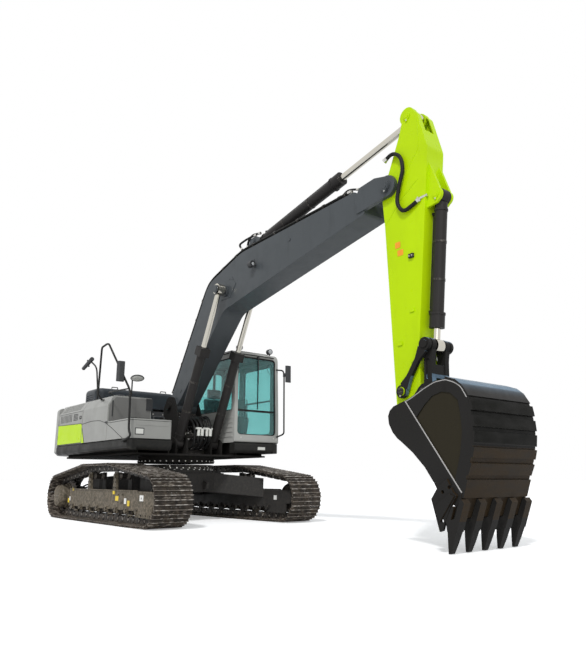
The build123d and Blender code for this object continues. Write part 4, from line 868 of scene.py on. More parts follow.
class EXCAVATOR_OT_side_trim(bpy.types.Operator):
    """Lay the green side patches, the painted shadow line under the body crease, latches, blank plates and
    painted shade sheets on the panels
    """

    bl_idname = "excavator.side_trim"
    bl_label = "Side panels"

    def execute(self, context):
        door = Piece("pump_door_trim", "stick_green", "seam_and_shade_dark", "moulded_plastic", "bright_steel")
        door.plate(((-2086, 1317), (-2086, 1672), (-891, 1642), (-874, 1609), (-874, 1317)),
                   -SIDE_Y - 3, -SIDE_Y)
        # Painted shade: a dark line along the top of the green patch, where the body crease casts its
        # shadow.
        door.tube(((-2086, -SIDE_Y - 1, 1677), (-891, -SIDE_Y - 1, 1647), (-875, -SIDE_Y - 1, 1616)),
                  5, 5, 8, 1)
        self.latch(door, -960, -1, 1760)
        # Painted shade: dark sheets just behind the grille slots stand in for the darkness inside them.
        sunk = (-SIDE_Y + 3, -SIDE_Y + 8)
        door.box((-1990, -1380), sunk, (1712, 1848), 1)
        door.box((-1322, -1088), sunk, (1722, 1836), 1)
        door.finish("pump_door", soft=0.8, segments=1)

        left = Piece("cooler_door_trim", "stick_green", "seam_and_shade_dark", "moulded_plastic", "bright_steel")
        left.plate(oblong((-2086, -806), (1317, 1396)), SIDE_Y, SIDE_Y + 3)
        # Painted shade: a dark line along the top of the green stripe, as on the right side.
        left.tube(((-2086, SIDE_Y + 1, 1400), (-806, SIDE_Y + 1, 1400)), 5, 5, 8, 1)
        self.latch(left, -880, 1, 1830)
        # Painted shade: a dark sheet just behind the grille slots.
        left.box((-1922, -840), (SIDE_Y - 8, SIDE_Y - 3), (1420, 1790), 1)
        left.finish("cooler_door", soft=0.8, segments=1)

        house = Piece("house_trim", "stick_green", "seam_and_shade_dark", "moulded_plastic", "bright_steel",
                      "panel_grey", "painted_shade_grey", "sleeve_white")
        house.plate(((-848, 1303), (-848, 1553), (-722, 1303)), -SIDE_Y - 3, -SIDE_Y)
        house.tube(((-850, -SIDE_Y - 1, 1562), (-716, -SIDE_Y - 1, 1302)), 6, 5, 8, 1)
        # Painted shade: the dark line under the body crease.
        house.tube([(x, -SIDE_Y - 0.5, z) for x, z in BODY_CREASE_SHADOW], 4.5, 60, 8, 1)
        face = TANK_FACE_X
        # Painted shade: a darker grey sheet over the fuel tank's front face.
        house.plate(((-1408, 1612, 30), (-670, 1612, 10), (-670, 2020, 20), (-1300, 2020, 30),
                     (-1408, 1880, 60)), face, face + 5, "X", 5)
        house.box((face, face + 26), (-643, -424), (1727, 1819), 2)
        house.bolts([(face + 26, y, 1773) for y in (-625, -442)], AHEAD, 9, 3)
        house.box((face, face + 18), (-751, -636), (1830, 2030), 2)
        house.box((face + 5, face + 16), (-1360, -1345), (1700, 1960), 2)
        for y_range, z_range, radius, height, tint in (
            ((985, 1141), (1183, 1234), 0, 4, 6),
            ((-1336, -1182), (1354, 1460), 0, 2.5, 2),
            ((-1322, -1196), (1368, 1446), 0, 5, 6),
            ((-1330, -760), (1500, 1540), 8, 4, 4),
        ):
            house.plate(oblong(y_range, z_range, radius), SKIRT_FRONT, SKIRT_FRONT + height, "X", tint)
        house.box((190, 252), (-SIDE_Y - 22, -SIDE_Y), (1588, 1606), 2)
        house.finish("house", soft=1.2, segments=1)
        return {"FINISHED"}

    def latch(self, piece, x, hand, z):
        """Paddle latch with its key barrel, on an upright side panel."""
        outside = hand * SIDE_Y
        piece.plate(oblong((x - 46, x + 46), (z - 30, z + 30), 12), *standing(outside, hand * 5), tint=2)
        piece.plate(oblong((x - 34, x + 18), (z - 18, z + 18), 8), *standing(outside, hand * 10), tint=1)
        piece.pin((x + 32, z), 9, *standing(outside, hand * 12), sides=16, tint=3)


class EXCAVATOR_OT_deck(bpy.types.Operator):
    """Fit anti-slip treads, the tank cap, lid handle, hood latches, lamps and lifting eyes"""

    bl_idname = "excavator.deck"
    bl_label = "Deck and hood"

    def execute(self, context):
        deck = Piece("deck_fittings", "deck_black", "bright_steel", "moulded_plastic", "cast_dark")
        for x_range, y_range in (((-720, 160), (-1270, -1130)), ((-60, 200), (-1110, -700)),
                                 ((-780, -240), (-1000, -680))):
            self.tread(deck, x_range, y_range, DECK_TOP)
        cap = Vector((-140, -1060, DECK_TOP + 15))
        deck.turned(((0, 0), (64, 0), (70, 6), (70, 38), (58, 50), (20, 54), (0, 54)), cap, UP, 32, 2)
        for angle in (0.4, 1.97, 3.54, 5.11):
            way = Vector((math.cos(angle), math.sin(angle), 0))
            centre = cap + Vector((0, 0, 30))
            deck.bar(centre + way * 52, centre + way * 78, 9, sides=8, tint=2)
        deck.tube(grab((-600, -930), (-100, -930), DECK_TOP, 60), 12, 50, 10, 0)
        deck.finish("house", soft=1.5, segments=1)

        lid = Piece("tool_box_lid_fittings", "deck_black", "bright_steel", "moulded_plastic")
        for y_range in ((-1380, -1060), (-1020, -760)):
            self.tread(lid, (330, 1040), y_range, LID_TOP)
        lid.tube(grab((1075, -1010), (1075, -830), LID_TOP, 35), 9, 30, 10, 2)
        lid.finish("tool_box_lid", soft=1, segments=1)

        hood = Piece("engine_hood_fittings", "moulded_plastic", "bright_steel", "deck_black")
        # Painted shade: black strips on the hood stand in for the dark insides of its slots.
        for x in [-1980 + 62 * step for step in range(8)]:
            hood.box((x, x + 30), (-560, 320), (HOOD_TOP - 2, HOOD_TOP + 8), 0)
        for y in (-620, 420):
            hood.tube(grab((-1455, y - 60), (-1455, y + 60), HOOD_TOP, 30), 9, 30, 10, 2)
        for y in (-760, 560):
            hood.box((-1396, -1380), (y - 40, y + 40), (2140, 2190), 0)
            hood.box((-1382, -1374), (y - 14, y + 14), (2120, 2200), 1)
        hood.finish("engine_hood", soft=1.5, segments=1)

        rear = Piece("counterweight_fittings", "deck_black", "bright_steel", "lamp_red", "seam_and_shade_dark",
                     "stick_green")
        for hand in (1, -1):
            rear.tube(grab((-2380, hand * 760), (-2380, hand * 620), 2020, 80), 20, 60, 12, 0)
            y = hand * 700
            rear.box((REAR_FACE - 1, REAR_FACE + 33), (y - 130, y + 130), (1560, 1640), 0)
            rear.box((REAR_FACE - 1, REAR_FACE + 7), (y - 120, y + 20), (1570, 1630), 2)
            rear.box((REAR_FACE - 1, REAR_FACE + 5), (y + 30, y + 118), (1570, 1630), 1)
        for z_range in ((1380, 1400), (1900, 1912)):
            rear.box((REAR_FACE - 1, REAR_FACE + 7), (-560, 560), z_range, 3)
        rear.box((REAR_FACE, REAR_FACE + 9), (-90, 90), (1930, 1985), 0)
        rear.bar((REAR_FACE + 4, 0, 1958), (REAR_FACE - 0.5, 0, 1958), 18, sides=20, tint=1)
        for y in (-420, -210, 0, 210, 420):
            rear.bar((REAR_FACE, y, 1220), (REAR_FACE + 9, y, 1220), 34, sides=24, tint=3)
        rear.finish("house", soft=1.5, segments=1)
        return {"FINISHED"}

    def tread(self, piece, x_range, y_range, level):
        """Black anti-slip plate with rows of raised studs."""
        piece.box(x_range, y_range, (level, level + 5))
        pitch = bpy.context.scene.excavator.stud_pitch
        places = []
        for low, high in (x_range, y_range):
            count = max(2, int((high - low) / pitch))
            places.append([low + (index + 0.5) * (high - low) / count for index in range(count)])
        for x in places[0]:
            for y in places[1]:
                piece.bar((x, y, level + 4), (x, y, level + 9), 14, 10, sides=8)


HANDRAIL_Y = -1465


class EXCAVATOR_OT_rails(bpy.types.Operator):
    """Bend the deck handrail and hang the mirrors and the camera mast"""

    bl_idname = "excavator.rails"
    bl_label = "Handrail and mirrors"

    def execute(self, context):
        rail = Piece("handrail", "deck_black", "moulded_plastic")
        y = HANDRAIL_Y
        rail.tube(((1000, y, 1268), (1150, y, 1290), (1255, y, 1325), (1180, y, 1412), (1158, y, 1990),
                   (1095, y, 2070), (200, y, 2905), (120, y, 2925), (-90, y, 2900), (-105, y, 2860),
                   (-140, y, 2085), (-140, -1385, 1995)), 17, 55, 14)
        rail.tube(((1110, y, 2052), (310, y, 2078), (215, -1343, 2049)), 12, 40, 10)
        rail.box((955, 1025), (y - 5, -1435), (1235, 1295))
        rail.bolts([(x, y - 5, 1250) for x in (970, 1010)], (0, -1, 0), 9)
        rail.bar((905, y, 2220), (880, y, 2243), 25, sides=16, tint=1)
        rail.plate(oblong((-190, -90), (-1395, -1352), 10), 1996, 2006, "Z")
        rail.finish("house", soft=1.2, segments=1, replaces=("deck_handrail",))

        mirrors = Piece("mirrors", "moulded_plastic", "mirror_glass", "deck_black", "sleeve_white")
        mirrors.plate(((932, -1614, 22), (984, -1600, 18), (984, -1500, 18), (932, -1486, 22),
                       (912, -1496, 8), (912, -1604, 8)), 2176, 2494, "Z")
        mirrors.plate(oblong((-1598, -1502), (2190, 2480), 14), 909, 912, "X", 1)
        mirrors.bar((918, -1500, 2240), (918, -1482, 2240), 12, tint=2)
        mirrors.finish("house", soft=4, segments=3, replaces=("deck_mirrors",))

        dish = Piece("convex_mirror", "moulded_plastic", "mirror_glass", "deck_black", "sleeve_white")
        axis = Vector((0.3, -0.12, -0.95)).normalized()
        centre = Vector((372, -1000, 2352))
        dish.turned(((0, -34), (60, -30), (104, -12), (116, 4), (112, 10), (104, 8)), centre, axis, 40, 0)
        dish.turned(((0, 30), (50, 26), (90, 14), (106, 4)), centre, axis, 40, 3)
        dish.tube(((175, -1000, DECK_TOP), (175, -1000, 2380), (230, -1000, 2400), (362, -997, 2386)),
                  12, 50, 12, 2)
        dish.turned(((0, 0), (40, 0), (40, 8), (16, 14), (0, 14)), (175, -1000, DECK_TOP), UP, 24, 2)
        dish.finish("house", soft=1, segments=1)

        mast = Piece("rear_mirror_mast", "deck_black", "moulded_plastic", "mirror_glass")
        mast.tube(((-590, -1300, DECK_TOP), (-590, -1300, 2230), (-690, -1300, 2600), (-760, -1300, 2680),
                   (-1000, -1300, 2800), (-1150, -1300, 2800)), 14, 70, 12)
        along = Vector((0.955, 0, 0.297))
        head = Vector((-1160, -1300, 2780))
        mast.bar(head - along * 215, head + along * 215, 34, 40, sides=12, tint=1)
        mast.bar(head + Vector((60, 0, -60)), head + Vector((-20, 0, 70)), 16, sides=12, tint=1)
        mast.turned(((0, 0), (40, 0), (40, 8), (18, 14), (0, 14)), (-590, -1300, DECK_TOP), UP, 24, 0)
        mast.finish("house", soft=2)
        return {"FINISHED"}


HOSE_Y = (-170, -118, -66, -14, 38, 90, 142)
SLEEVED_HOSES = (1, 2, 4, 5)


class EXCAVATOR_OT_main_hoses(bpy.types.Operator):
    """Run the main hoses from the valve up to the boom, with their pale sleeves"""

    bl_idname = "excavator.main_hoses"
    bl_label = "Main hoses"

    def execute(self, context):
        hoses = Piece("boom_foot_hoses", "hose_rubber", "bright_steel", "sleeve_white", "cast_dark")
        radius = context.scene.excavator.hose_radius
        for index, y in enumerate(HOSE_Y):
            sway = 8 * math.sin(index * 2.1)
            low, high = 1198 + 150 * (index % 2), 1600 + 12 * index
            reach = 900 + 34 * (index % 3)
            hoses.hose(((655, y * 0.9, low), (760, y * 0.9, low - 10), (reach, y + sway, 1250 + 14 * index),
                        (reach + 30, y - sway, 1480), (reach - 40, y + sway, high),
                        (760, y - sway, 1690 + 9 * index), (500, y, 1720), (330, y * 0.95, 1800)), radius,
                       110, fitting=3)
            if index in SLEEVED_HOSES:
                hoses.bar((reach + 20, y, 1392), (reach + 28, y, 1512), 26, sides=16, tint=2)
        for y in (-92, 64):
            hoses.box((936, 984), (y - 74, y + 74), (1500, 1530), 2)
        hoses.finish("house", soft=0)

        plumbing = Piece("valve_plumbing", "hose_rubber", "bright_steel", "cast_dark")
        for index, y in enumerate((-150, -90, -30, 30, 90, 150)):
            for z in (1348, 1198):
                plumbing.bar((655, y, z), (690, y, z), 20, sides=6, tint=1)
            plumbing.hose(((560, y, 1420), (560, y, 1500 + 8 * index), (430, y * 0.8, 1560 + 10 * index),
                           (150, y * 0.7, 1500)), 15, 110)
        plumbing.box((380, 610), (-150, 150), (1420, 1452), 2)
        for x in (420, 500, 580):
            for y in (-60, 60):
                plumbing.bar((x, y, 1450), (x, y, 1500), 22, sides=8, tint=2)
        plumbing.finish("house", soft=1, segments=1)
        return {"FINISHED"}


# ---- cab ------------------------------------------------------------------------------------
CAB_LEFT, CAB_RIGHT, CAB_FRONT, CAB_REAR = 1450, 500, 1100, -720
FRONT_WINDOW = ((560, 1440, 70), (1395, 1440, 70), (1380, 2820, 90), (575, 2820, 90))
REAR_WINDOW = oblong((580, 1370), (2000, 2780), 60)
RIGHT_WINDOW = ((-640, 1860, 60), (1000, 1860, 60), (980, 2800, 80), (-640, 2800, 80))
REAR_QUARTER = oblong((-660, -120), (1900, 2790), 60)
DOOR_PANE = oblong((20, 900), (1480, 2740), 80)
CAB_LAMP_Y, CAB_LAMP_Z = (640, 1310), 2992
WIPER_Y = 1000


class EXCAVATOR_OT_cab_trim(bpy.types.Operator):
    """Seal the cab's windows and fit the wiper, lamps, handles and mirror"""

    bl_idname = "excavator.cab_trim"
    bl_label = "Cab outside"

    def execute(self, context):
        trim = Piece("cab_trim", "hose_rubber", "moulded_plastic", "bright_steel", "deck_black",
                     "sleeve_white")
        trim.seal(FRONT_WINDOW, CAB_FRONT - 38, "X", 17)
        trim.seal(REAR_WINDOW, CAB_REAR + 16, "X", 15)
        trim.seal(RIGHT_WINDOW, CAB_RIGHT + 15, "Y", 16)
        trim.seal(REAR_QUARTER, CAB_LEFT - 18, "Y", 16)
        front, y = CAB_FRONT, WIPER_Y
        trim.box((front - 50, front - 34), (590, 1366), (1850, 1882), 0)
        trim.bar((front - 30, y, 2840), (front - 6, y, 2840), 22, tint=1)
        trim.tube(((front - 14, y, 2840), (front - 16, y + 4, 2420), (front - 24, y + 6, 2340)), 9, 40,
                  8, 1)
        trim.box((front - 36, front - 24), (y - 3, y + 15), (1900, 2780), 0)
        trim.tube([(front - 60, y, z) for y, z in ((1300, 2560), (1345, 2620), (1345, 2720), (1290, 2770),
                                                   (1240, 2720), (1240, 2620), (1290, 2560))], 5, 40, 8, 0)
        trim.box((CAB_REAR + 14, CAB_REAR + 40), (1150, 1200), (2000, 2780), 0)
        trim.box((front - 60, front - 20), (590, 1360), (2862, 2874), 3)
        for y in CAB_LAMP_Y:
            trim.turned(((0, 0), (38, 0), (46, 4), (50, 10), (50, -6), (54, -6)), (1026, y, CAB_LAMP_Z),
                        AHEAD, 28, 3)
        trim.bolts([(front, 640, 1392), (front, 1340, 1392), (front, 1400, 1372)], AHEAD, 11, 2)
        trim.tube(((560, CAB_RIGHT - 6, 2890), (900, CAB_RIGHT - 6, 2890)), 9, 20, 8, 3)
        trim.box((-640, 960), (680, 1270), (2940, 2945), 3)
        for x in (-560, -300, -40, 220, 480, 740):
            trim.box((x, x + 120), (700, 1250), (2944, 2949), 1)
        trim.finish("house", soft=1.2, segments=1)

        lenses = Piece("cab_lamp_lenses", "lamp_lens", "mirror_glass")
        for y in CAB_LAMP_Y:
            lenses.turned(((0, 12), (24, 10), (40, 4), (44, 0)), (1029, y, CAB_LAMP_Z), AHEAD, 28, 0)
        lenses.finish("house", soft=0)

        door = Piece("cab_door_trim", "hose_rubber", "moulded_plastic", "bright_steel", "deck_black")
        door.seal(DOOR_PANE, CAB_LEFT - 12, "Y", 17)
        door.plate(oblong((905, 968), (1700, 1860), 12), CAB_LEFT, CAB_LEFT + 7, tint=1)
        door.tube(((925, CAB_LEFT + 4, 1720), (925, CAB_LEFT + 32, 1735), (925, CAB_LEFT + 32, 1825),
                   (925, CAB_LEFT + 4, 1840)), 9, 20, 10, 3)
        door.box((60, 860), (CAB_LEFT - 18, CAB_LEFT - 4), (2085, 2115), 1)
        door.tube(((50, CAB_LEFT, 1600), (50, CAB_LEFT + 30, 1620), (50, CAB_LEFT + 30, 2180),
                   (50, CAB_LEFT, 2200)), 11, 40, 10, 3)
        door.finish("cab_door", soft=1.2, segments=1)

        mirror = Piece("cab_mirror", "deck_black", "moulded_plastic", "mirror_glass")
        mirror.tube(((1092, 1400, 2650), (1150, 1520, 2645), (1165, 1530, 2560), (1165, 1530, 1480),
                     (1115, 1400, 1420)), 14, 45, 12)
        mirror.plate(((1186, 1537, 10), (1214, 1537, 16), (1234, 1560, 20), (1234, 1630, 20),
                      (1214, 1653, 16), (1186, 1653, 10)), 2424, 2732, "Z", 1)
        mirror.plate(oblong((1548, 1644), (2436, 2720), 14), 1184, 1187, "X", 2)
        mirror.bar((1165, 1530, 2560), (1200, 1560, 2560), 12)
        mirror.bar((1165, 1530, 2525), (1165, 1530, 2595), 22, sides=16, tint=1)
        mirror.finish("house", soft=3, replaces=("cab_mirror_rail",))
        return {"FINISHED"}


class EXCAVATOR_OT_cab_inside(bpy.types.Operator):
    """Upholster the seat and fit consoles, levers, pedals and the display"""

    bl_idname = "excavator.cab_inside"
    bl_label = "Cab inside"

    def execute(self, context):
        seat = Piece("operator_seat_pads", "seat_cloth")
        seat.plate(((-235, 1605, 60), (245, 1605, 70), (262, 1700, 60), (240, 1748, 40), (-200, 1735, 60)),
                   735, 1185)
        seat.plate(((-285, 1745, 40), (-150, 1745, 60), (-225, 2170, 60), (-300, 2200, 30),
                    (-372, 2190, 40)), 745, 1175)
        seat.plate(((-372, 2215, 30), (-290, 2215, 30), (-300, 2400, 50), (-392, 2400, 40)), 830, 1090)
        pads = seat.finish("house", soft=26, segments=4, replaces=("operator_seat",))
        base = Piece("operator_seat_base", "moulded_plastic", "cast_dark")
        base.plate(((-240, 1352, 20), (240, 1352, 20), (200, 1470, 40), (240, 1600, 20), (-230, 1600, 20),
                    (-200, 1470, 40)), 790, 1130)
        for y in (715, 1150):
            base.plate(((-270, 1930, 30), (60, 1930, 30), (60, 1985, 24), (-300, 1985, 24)), y, y + 55)
        base.finish("house", soft=6)

        inside = Piece("cab_controls", "moulded_plastic", "hose_rubber", "display_glass", "cast_dark")
        for low, high in ((562, 688), (1232, 1348)):
            inside.plate(((-255, 1352, 20), (190, 1352, 20), (320, 1835, 70), (-255, 1890, 60)), low, high)
            foot, lean = (262, (low + high) / 2, 1840), (0.05, 0, 1)
            inside.turned(((34, 0), (30, 14), (24, 26), (20, 44), (12, 60), (10, 110)), foot, lean, 20, 1)
            inside.turned(((0, 100), (20, 100), (26, 130), (24, 170), (30, 200), (26, 222), (0, 230)),
                          foot, lean, 20, 0)
        for y in (880, 1030):
            inside.tube(((700, y, 1352), (640, y, 1480), (600, y, 1760), (560, y, 1830)), 10, 60, 10, 3)
            inside.bar((560, y, 1815), (560, y, 1865), 20, 14, sides=14, tint=0)
            inside.plate(((660, 1352), (860, 1352), (880, 1420), (840, 1430)), y - 45, y + 45, tint=1)
        inside.plate(((930, 1880, 20), (990, 1880, 20), (1000, 2060, 20), (940, 2060, 20)), 560, 760)
        inside.plate(((928, 1900, 8), (932, 1900, 8), (940, 2044, 8), (936, 2044, 8)), 580, 740, tint=2)
        inside.box((940, 1000), (560, 600), (1352, 1900), 0)
        inside.finish("house", soft=3, replaces=("consoles",))
        return {"FINISHED"}


# ---- boom, stick and cylinders --------------------------------------------------------------
BOOM_TIP = (5420, 4180)
BOOM_CYLINDER_FOOT, BOOM_CYLINDER_EYE = (660, 1270), (1840, 3690)
STICK_CYLINDER_FOOT, STICK_CYLINDER_EYE = (2500, 4370), (5742, 5008)
BUCKET_CYLINDER_FOOT, ROCKER_FOOT, ROCKER_TOP = (6080, 3860), (5540, 1640), (5890, 2130)
BUCKET_PIN, BUCKET_LINK_PIN = (5590, 1260), (5870, 1600)
PIPE_ROUTE = ((92, 2193), (264, 2462), (1146, 3839), (1250, 3962), (1400, 4036), (2240, 4284),
              (4780, 4363))
PIPE_Y = (-182, -154)
BOOM_LAMP = (2680, -270, 3920)


def pin_cap(piece, place, radius, side, hand, tint=0, bolt=1):
    """Pin end with its keeper plate and bolt, on a side face at y = side."""
    x, z = place
    piece.pin(place, radius, *standing(side, hand * 10), sides=32, tint=tint)
    piece.pin(place, radius * 0.62, *standing(side, hand * 16), sides=28, tint=tint)
    piece.plate(oblong((x - radius * 0.3, x + radius * 0.3), (z - radius * 1.5, z - radius * 0.5), 8),
                *standing(side, hand * 13), tint=tint)
    piece.bolts([(x, side + hand * 13, z - radius * 1.2)], (0, hand, 0), 10, bolt)


class EXCAVATOR_OT_boom_fittings(bpy.types.Operator):
    """Pipe the boom from foot to tip, clamp the pipes and cap its pins"""

    bl_idname = "excavator.boom_fittings"
    bl_label = "Boom fittings"

    def execute(self, context):
        pipes = Piece("boom_pipe_runs", "deck_black", "cast_dark", "bright_steel")
        for y in PIPE_Y:
            pipes.tube([(x, y, z) for x, z in PIPE_ROUTE], 13, 120, 12)
            start, end = (Vector((x, y, z)) for x, z in (PIPE_ROUTE[0], PIPE_ROUTE[-1]))
            pipes.bar(end - Vector((60, 0, 2)), end, 20, sides=6, tint=2)
            pipes.bar(start, start + Vector((26, 0, 40)), 20, sides=6, tint=2)
        for run, shares in ((1, (0.16, 0.42, 0.68, 0.9)), (4, (0.35, 0.8)),
                            (5, (0.12, 0.34, 0.56, 0.78, 0.95))):
            (x1, z1), (x2, z2) = PIPE_ROUTE[run:run + 2]
            way = Vector((x2 - x1, 0, z2 - z1)).normalized()
            up = Vector((-way.z, 0, way.x))
            for share in shares:
                middle = Vector((x1 + share * (x2 - x1), sum(PIPE_Y) / 2, z1 + share * (z2 - z1)))
                pipes.bar(middle - way * 22, middle + way * 22, 36, sides=4, tint=1)
                pipes.bolts([middle + up * 24], up, 9, 2, washer=False)
        pipes.finish("boom", soft=1, segments=1, replaces=("boom_pipes",))

        hoses = Piece("boom_hoses", "hose_rubber", "bright_steel", "cast_dark")
        hoses.hose(((2213, -150, 4310), (2120, -158, 4420), (2260, -162, 4440), (2420, -160, 4452),
                    (2560, -120, 4470)), 17, 90)
        hoses.hose(((2300, -110, 4320), (2330, -122, 4420), (2450, -128, 4500), (2640, -96, 4480)), 17, 70)
        hoses.hose(((4520, -110, 4390), (4640, -112, 4450), (4760, -110, 4420), (4860, -110, 4380)), 15,
                   70)
        hoses.hose(((600, -150, 2320), (520, -180, 2260), (400, -190, 2150), (330, -150, 2010)), 17, 90)
        hoses.hose(((700, 150, 2420), (600, 186, 2300), (430, 196, 2160), (340, 150, 2010)), 17, 90)
        hoses.box((2240, 2330), (-150, -60), (4262, 4318), 2)
        hoses.box((4480, 4560), (-150, -70), (4352, 4402), 2)
        hoses.bolts([(x, -105, 4318) for x in (2256, 2314)], UP, 10, 1)
        hoses.finish("boom", soft=1.5, segments=1)

        caps = Piece("boom_pin_caps", "boom_slate", "bright_steel", "lamp_lens", "label_white",
                     "moulded_plastic")
        for hand in (1, -1):
            pin_cap(caps, BOOM_CYLINDER_EYE, 66, hand * 404, hand)
            pin_cap(caps, BOOM_TIP, 62, hand * 237, hand)
            pin_cap(caps, STICK_CYLINDER_FOOT, 46, hand * 140, hand)
            caps.plate(((1640, 3745, 20), (1700, 3820, 20), (1960, 3872, 20), (2080, 3800, 20),
                        (2000, 3905, 40), (1740, 3905, 40)), *standing(hand * 200, hand * 6))
            for x, z in ((2600, 4010), (3500, 4080)):
                caps.pin((x, z), 26, *standing(hand * 199, hand * 9), sides=20)
        caps.turned(((0, 10), (24, 8), (40, 3), (45, 0)), BOOM_LAMP, AHEAD, 28, 2)
        caps.turned(((46, -6), (53, -6), (53, 8), (46, 8)), BOOM_LAMP, AHEAD, 28, 4)
        caps.finish("boom", soft=1.5, segments=1)
        return {"FINISHED"}


class EXCAVATOR_OT_cylinders(bpy.types.Operator):
    """Bolt the glands, weld the ports and strap the pipes on every cylinder"""

    bl_idname = "excavator.cylinders"
    bl_label = "Cylinders"

    def execute(self, context):
        rows = (  # name, barrel's node, foot, eye, y, barrel length and radius, square head, pipe side
            ("left", "boom_cylinder_barrels", BOOM_CYLINDER_FOOT, BOOM_CYLINDER_EYE, 338, 1700, 78,
             True, 1),
            ("right", "boom_cylinder_barrels", BOOM_CYLINDER_FOOT, BOOM_CYLINDER_EYE, -338, 1700, 78,
             True, 1),
            ("stick", "stick_cylinder_barrel", STICK_CYLINDER_FOOT, STICK_CYLINDER_EYE, 0, 1960, 84,
             False, 1),
            ("bucket", "bucket_cylinder_barrel", BUCKET_CYLINDER_FOOT, ROCKER_TOP, 0, 1540, 72, False,
             -1),
        )
        for name, node, foot, eye, y, length, radius, square, side in rows:
            piece = Piece(f"{name}_cylinder_fittings", "cylinder_paint", "bright_steel", "cast_dark",
                          "hose_rubber")
            start = Vector((foot[0], y, foot[1]))
            way = (Vector((eye[0], y, eye[1])) - start).normalized()
            up = Vector((-way.z, 0, way.x)) * side
            head = start + way * length
            rim = start + way * (length - 150)
            if square:
                corners = [head - way * 10 + up * a + Vector((0, b, 0)) for a in (-72, 72)
                           for b in (-72, 72)]
                piece.bolts(corners, way, 13)
            else:
                piece.bolts(on_ring(12, head - way * 8, way, radius + 1), way, 11)
                piece.bar(rim - way * 26, rim, radius + 20, sides=36)
            piece.turned(((radius * 0.6, 0), (radius * 0.72, 0), (radius * 0.68, 4), (radius * 0.6, 4)),
                         head, way, 32, 3)
            piece.bar(start + way * 150, start + way * 176, radius + 8, sides=32)
            run = up * (radius + 26)
            near, far = start + way * 210, rim - way * 70
            piece.tube((near + run * 0.6, near + run, far + run, far + run * 0.6), 12, 40, 10)
            for port, height in ((near - way * 16, 40), (far + way * 26, 36)):
                piece.bar(port + up * radius * 0.7, port + up * (radius + height), 24, sides=16)
            for share in (0.3, 0.7):
                middle = near + (far - near) * share
                piece.bar(middle - way * 14, middle + way * 14, radius + 5, sides=32, tint=2)
                piece.bar(middle - way * 18 + run * 0.8, middle + way * 18 + run * 0.8, 22, sides=4,
                          tint=2)
            piece.finish(frame["nodes"][node]["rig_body"], soft=1.2, segments=1)
        return {"FINISHED"}


class EXCAVATOR_OT_stick_fittings(bpy.types.Operator):
    """Hang the bucket cylinder's hose on the stick and cap the stick's and links' pins"""

    bl_idname = "excavator.stick_fittings"
    bl_label = "Stick fittings"

    def execute(self, context):
        hose = Piece("stick_hose", "hose_rubber", "bright_steel", "deck_black")
        for hand, drop in ((-1, 0), (1, 30)):  # the left hose hangs a little lower
            y = hand * 190
            hose.hose(((5400, hand * 205, 4520), (5520, y, 4590), (5650, y, 4500), (5690, y, 4320),
                       (5600, y, 4100), (5560, y, 3900 - drop), (5660, y, 3760 - drop),
                       (5800, hand * 178, 3810), (5890, hand * 160, 3860)), 24, 110)
            hose.bar((5880, hand * 160, 3860), (5980, hand * 130, 3885), 20, sides=6, tint=1)
        hose.finish("stick", soft=0)

        fittings = Piece("stick_fittings", "stick_green", "orange_patch", "cast_dark", "bright_steel",
                         "seam_and_shade_dark")
        for hand in (1, -1):
            side = hand * 150
            for patch in (oblong((5478, 5560), (3360, 3436), 10), oblong((5510, 5600), (3256, 3330), 10)):
                fittings.plate(patch, *standing(side, hand * 3), tint=1)
            fittings.box((5690, 5760), standing(side, hand * 26), (3180, 3230), 2)
            fittings.bolts([(x, side + hand * 26, 3205) for x in (5706, 5744)], (0, hand, 0), 9, 3)
            for x, z in ((5700, 2560), (5500, 2200), (5690, 1985)):
                fittings.plate(((x - 36, z - 22, 6), (x + 36, z - 22, 6), (x + 24, z + 26, 6),
                                (x - 24, z + 26, 6)), *standing(side, hand * 14))
            fittings.tube(((5470, side, 3980), (5900, side, 4520), (5905, side, 4900)), 5, 60, 8)
            fittings.tube(((5330, side, 3700), (5600, side, 3960), (5860, side, 4120)), 5, 60, 8)
            fittings.pin(BOOM_TIP, 168, *standing(side, hand * 3), sides=40)
            pin_cap(fittings, ROCKER_FOOT, 44, hand * 222, hand, 2, 3)
            pin_cap(fittings, BUCKET_CYLINDER_FOOT, 46, hand * 110, hand, 0, 3)
            pin_cap(fittings, STICK_CYLINDER_EYE, 52, side, hand, 0, 3)
        fittings.box((5990, 6006), (-66, 66), (4390, 4470), 2)
        fittings.finish("stick", soft=1.2, segments=1)
        return {"FINISHED"}


# ---- bucket ---------------------------------------------------------------------------------
BUCKET_SIDE = 535
EDGE_LINE = ((5873, 1476), (6518, 560))
RIM_LINE = ((5885, 1474), (5961, 1502), (6135, 1584), (6262, 1630), (6395, 1640), (6500, 1602),
            (6574, 1550), (6634, 1443))


class EXCAVATOR_OT_bucket_trim(bpy.types.Operator):
    """Run painted highlight beads along the bucket's edges and cap its pins"""

    bl_idname = "excavator.bucket_trim"
    bl_label = "Bucket"

    def execute(self, context):
        highlights_and_caps = Piece("bucket_edge_highlights_and_caps", "painted_edge_highlight", "bucket_black", "cast_dark", "bright_steel")
        for hand in (1, -1):
            y = hand * (BUCKET_SIDE + 3)
            (x1, z1), (x2, z2) = EDGE_LINE
            # Painted highlight: light grey beads along the side plate's front edge and its top rim.
            highlights_and_caps.tube(((x1, y, z1), (x2, y, z2)), 7, 5, 8, 0)
            highlights_and_caps.tube([(x, hand * (BUCKET_SIDE - 2), z) for x, z in RIM_LINE], 6, 30, 8, 0)
            for place in (BUCKET_PIN, BUCKET_LINK_PIN):
                pin_cap(highlights_and_caps, place, 46, hand * 240, hand, 2, 3)
        highlights_and_caps.finish("bucket", soft=0.8, segments=1)
        return {"FINISHED"}


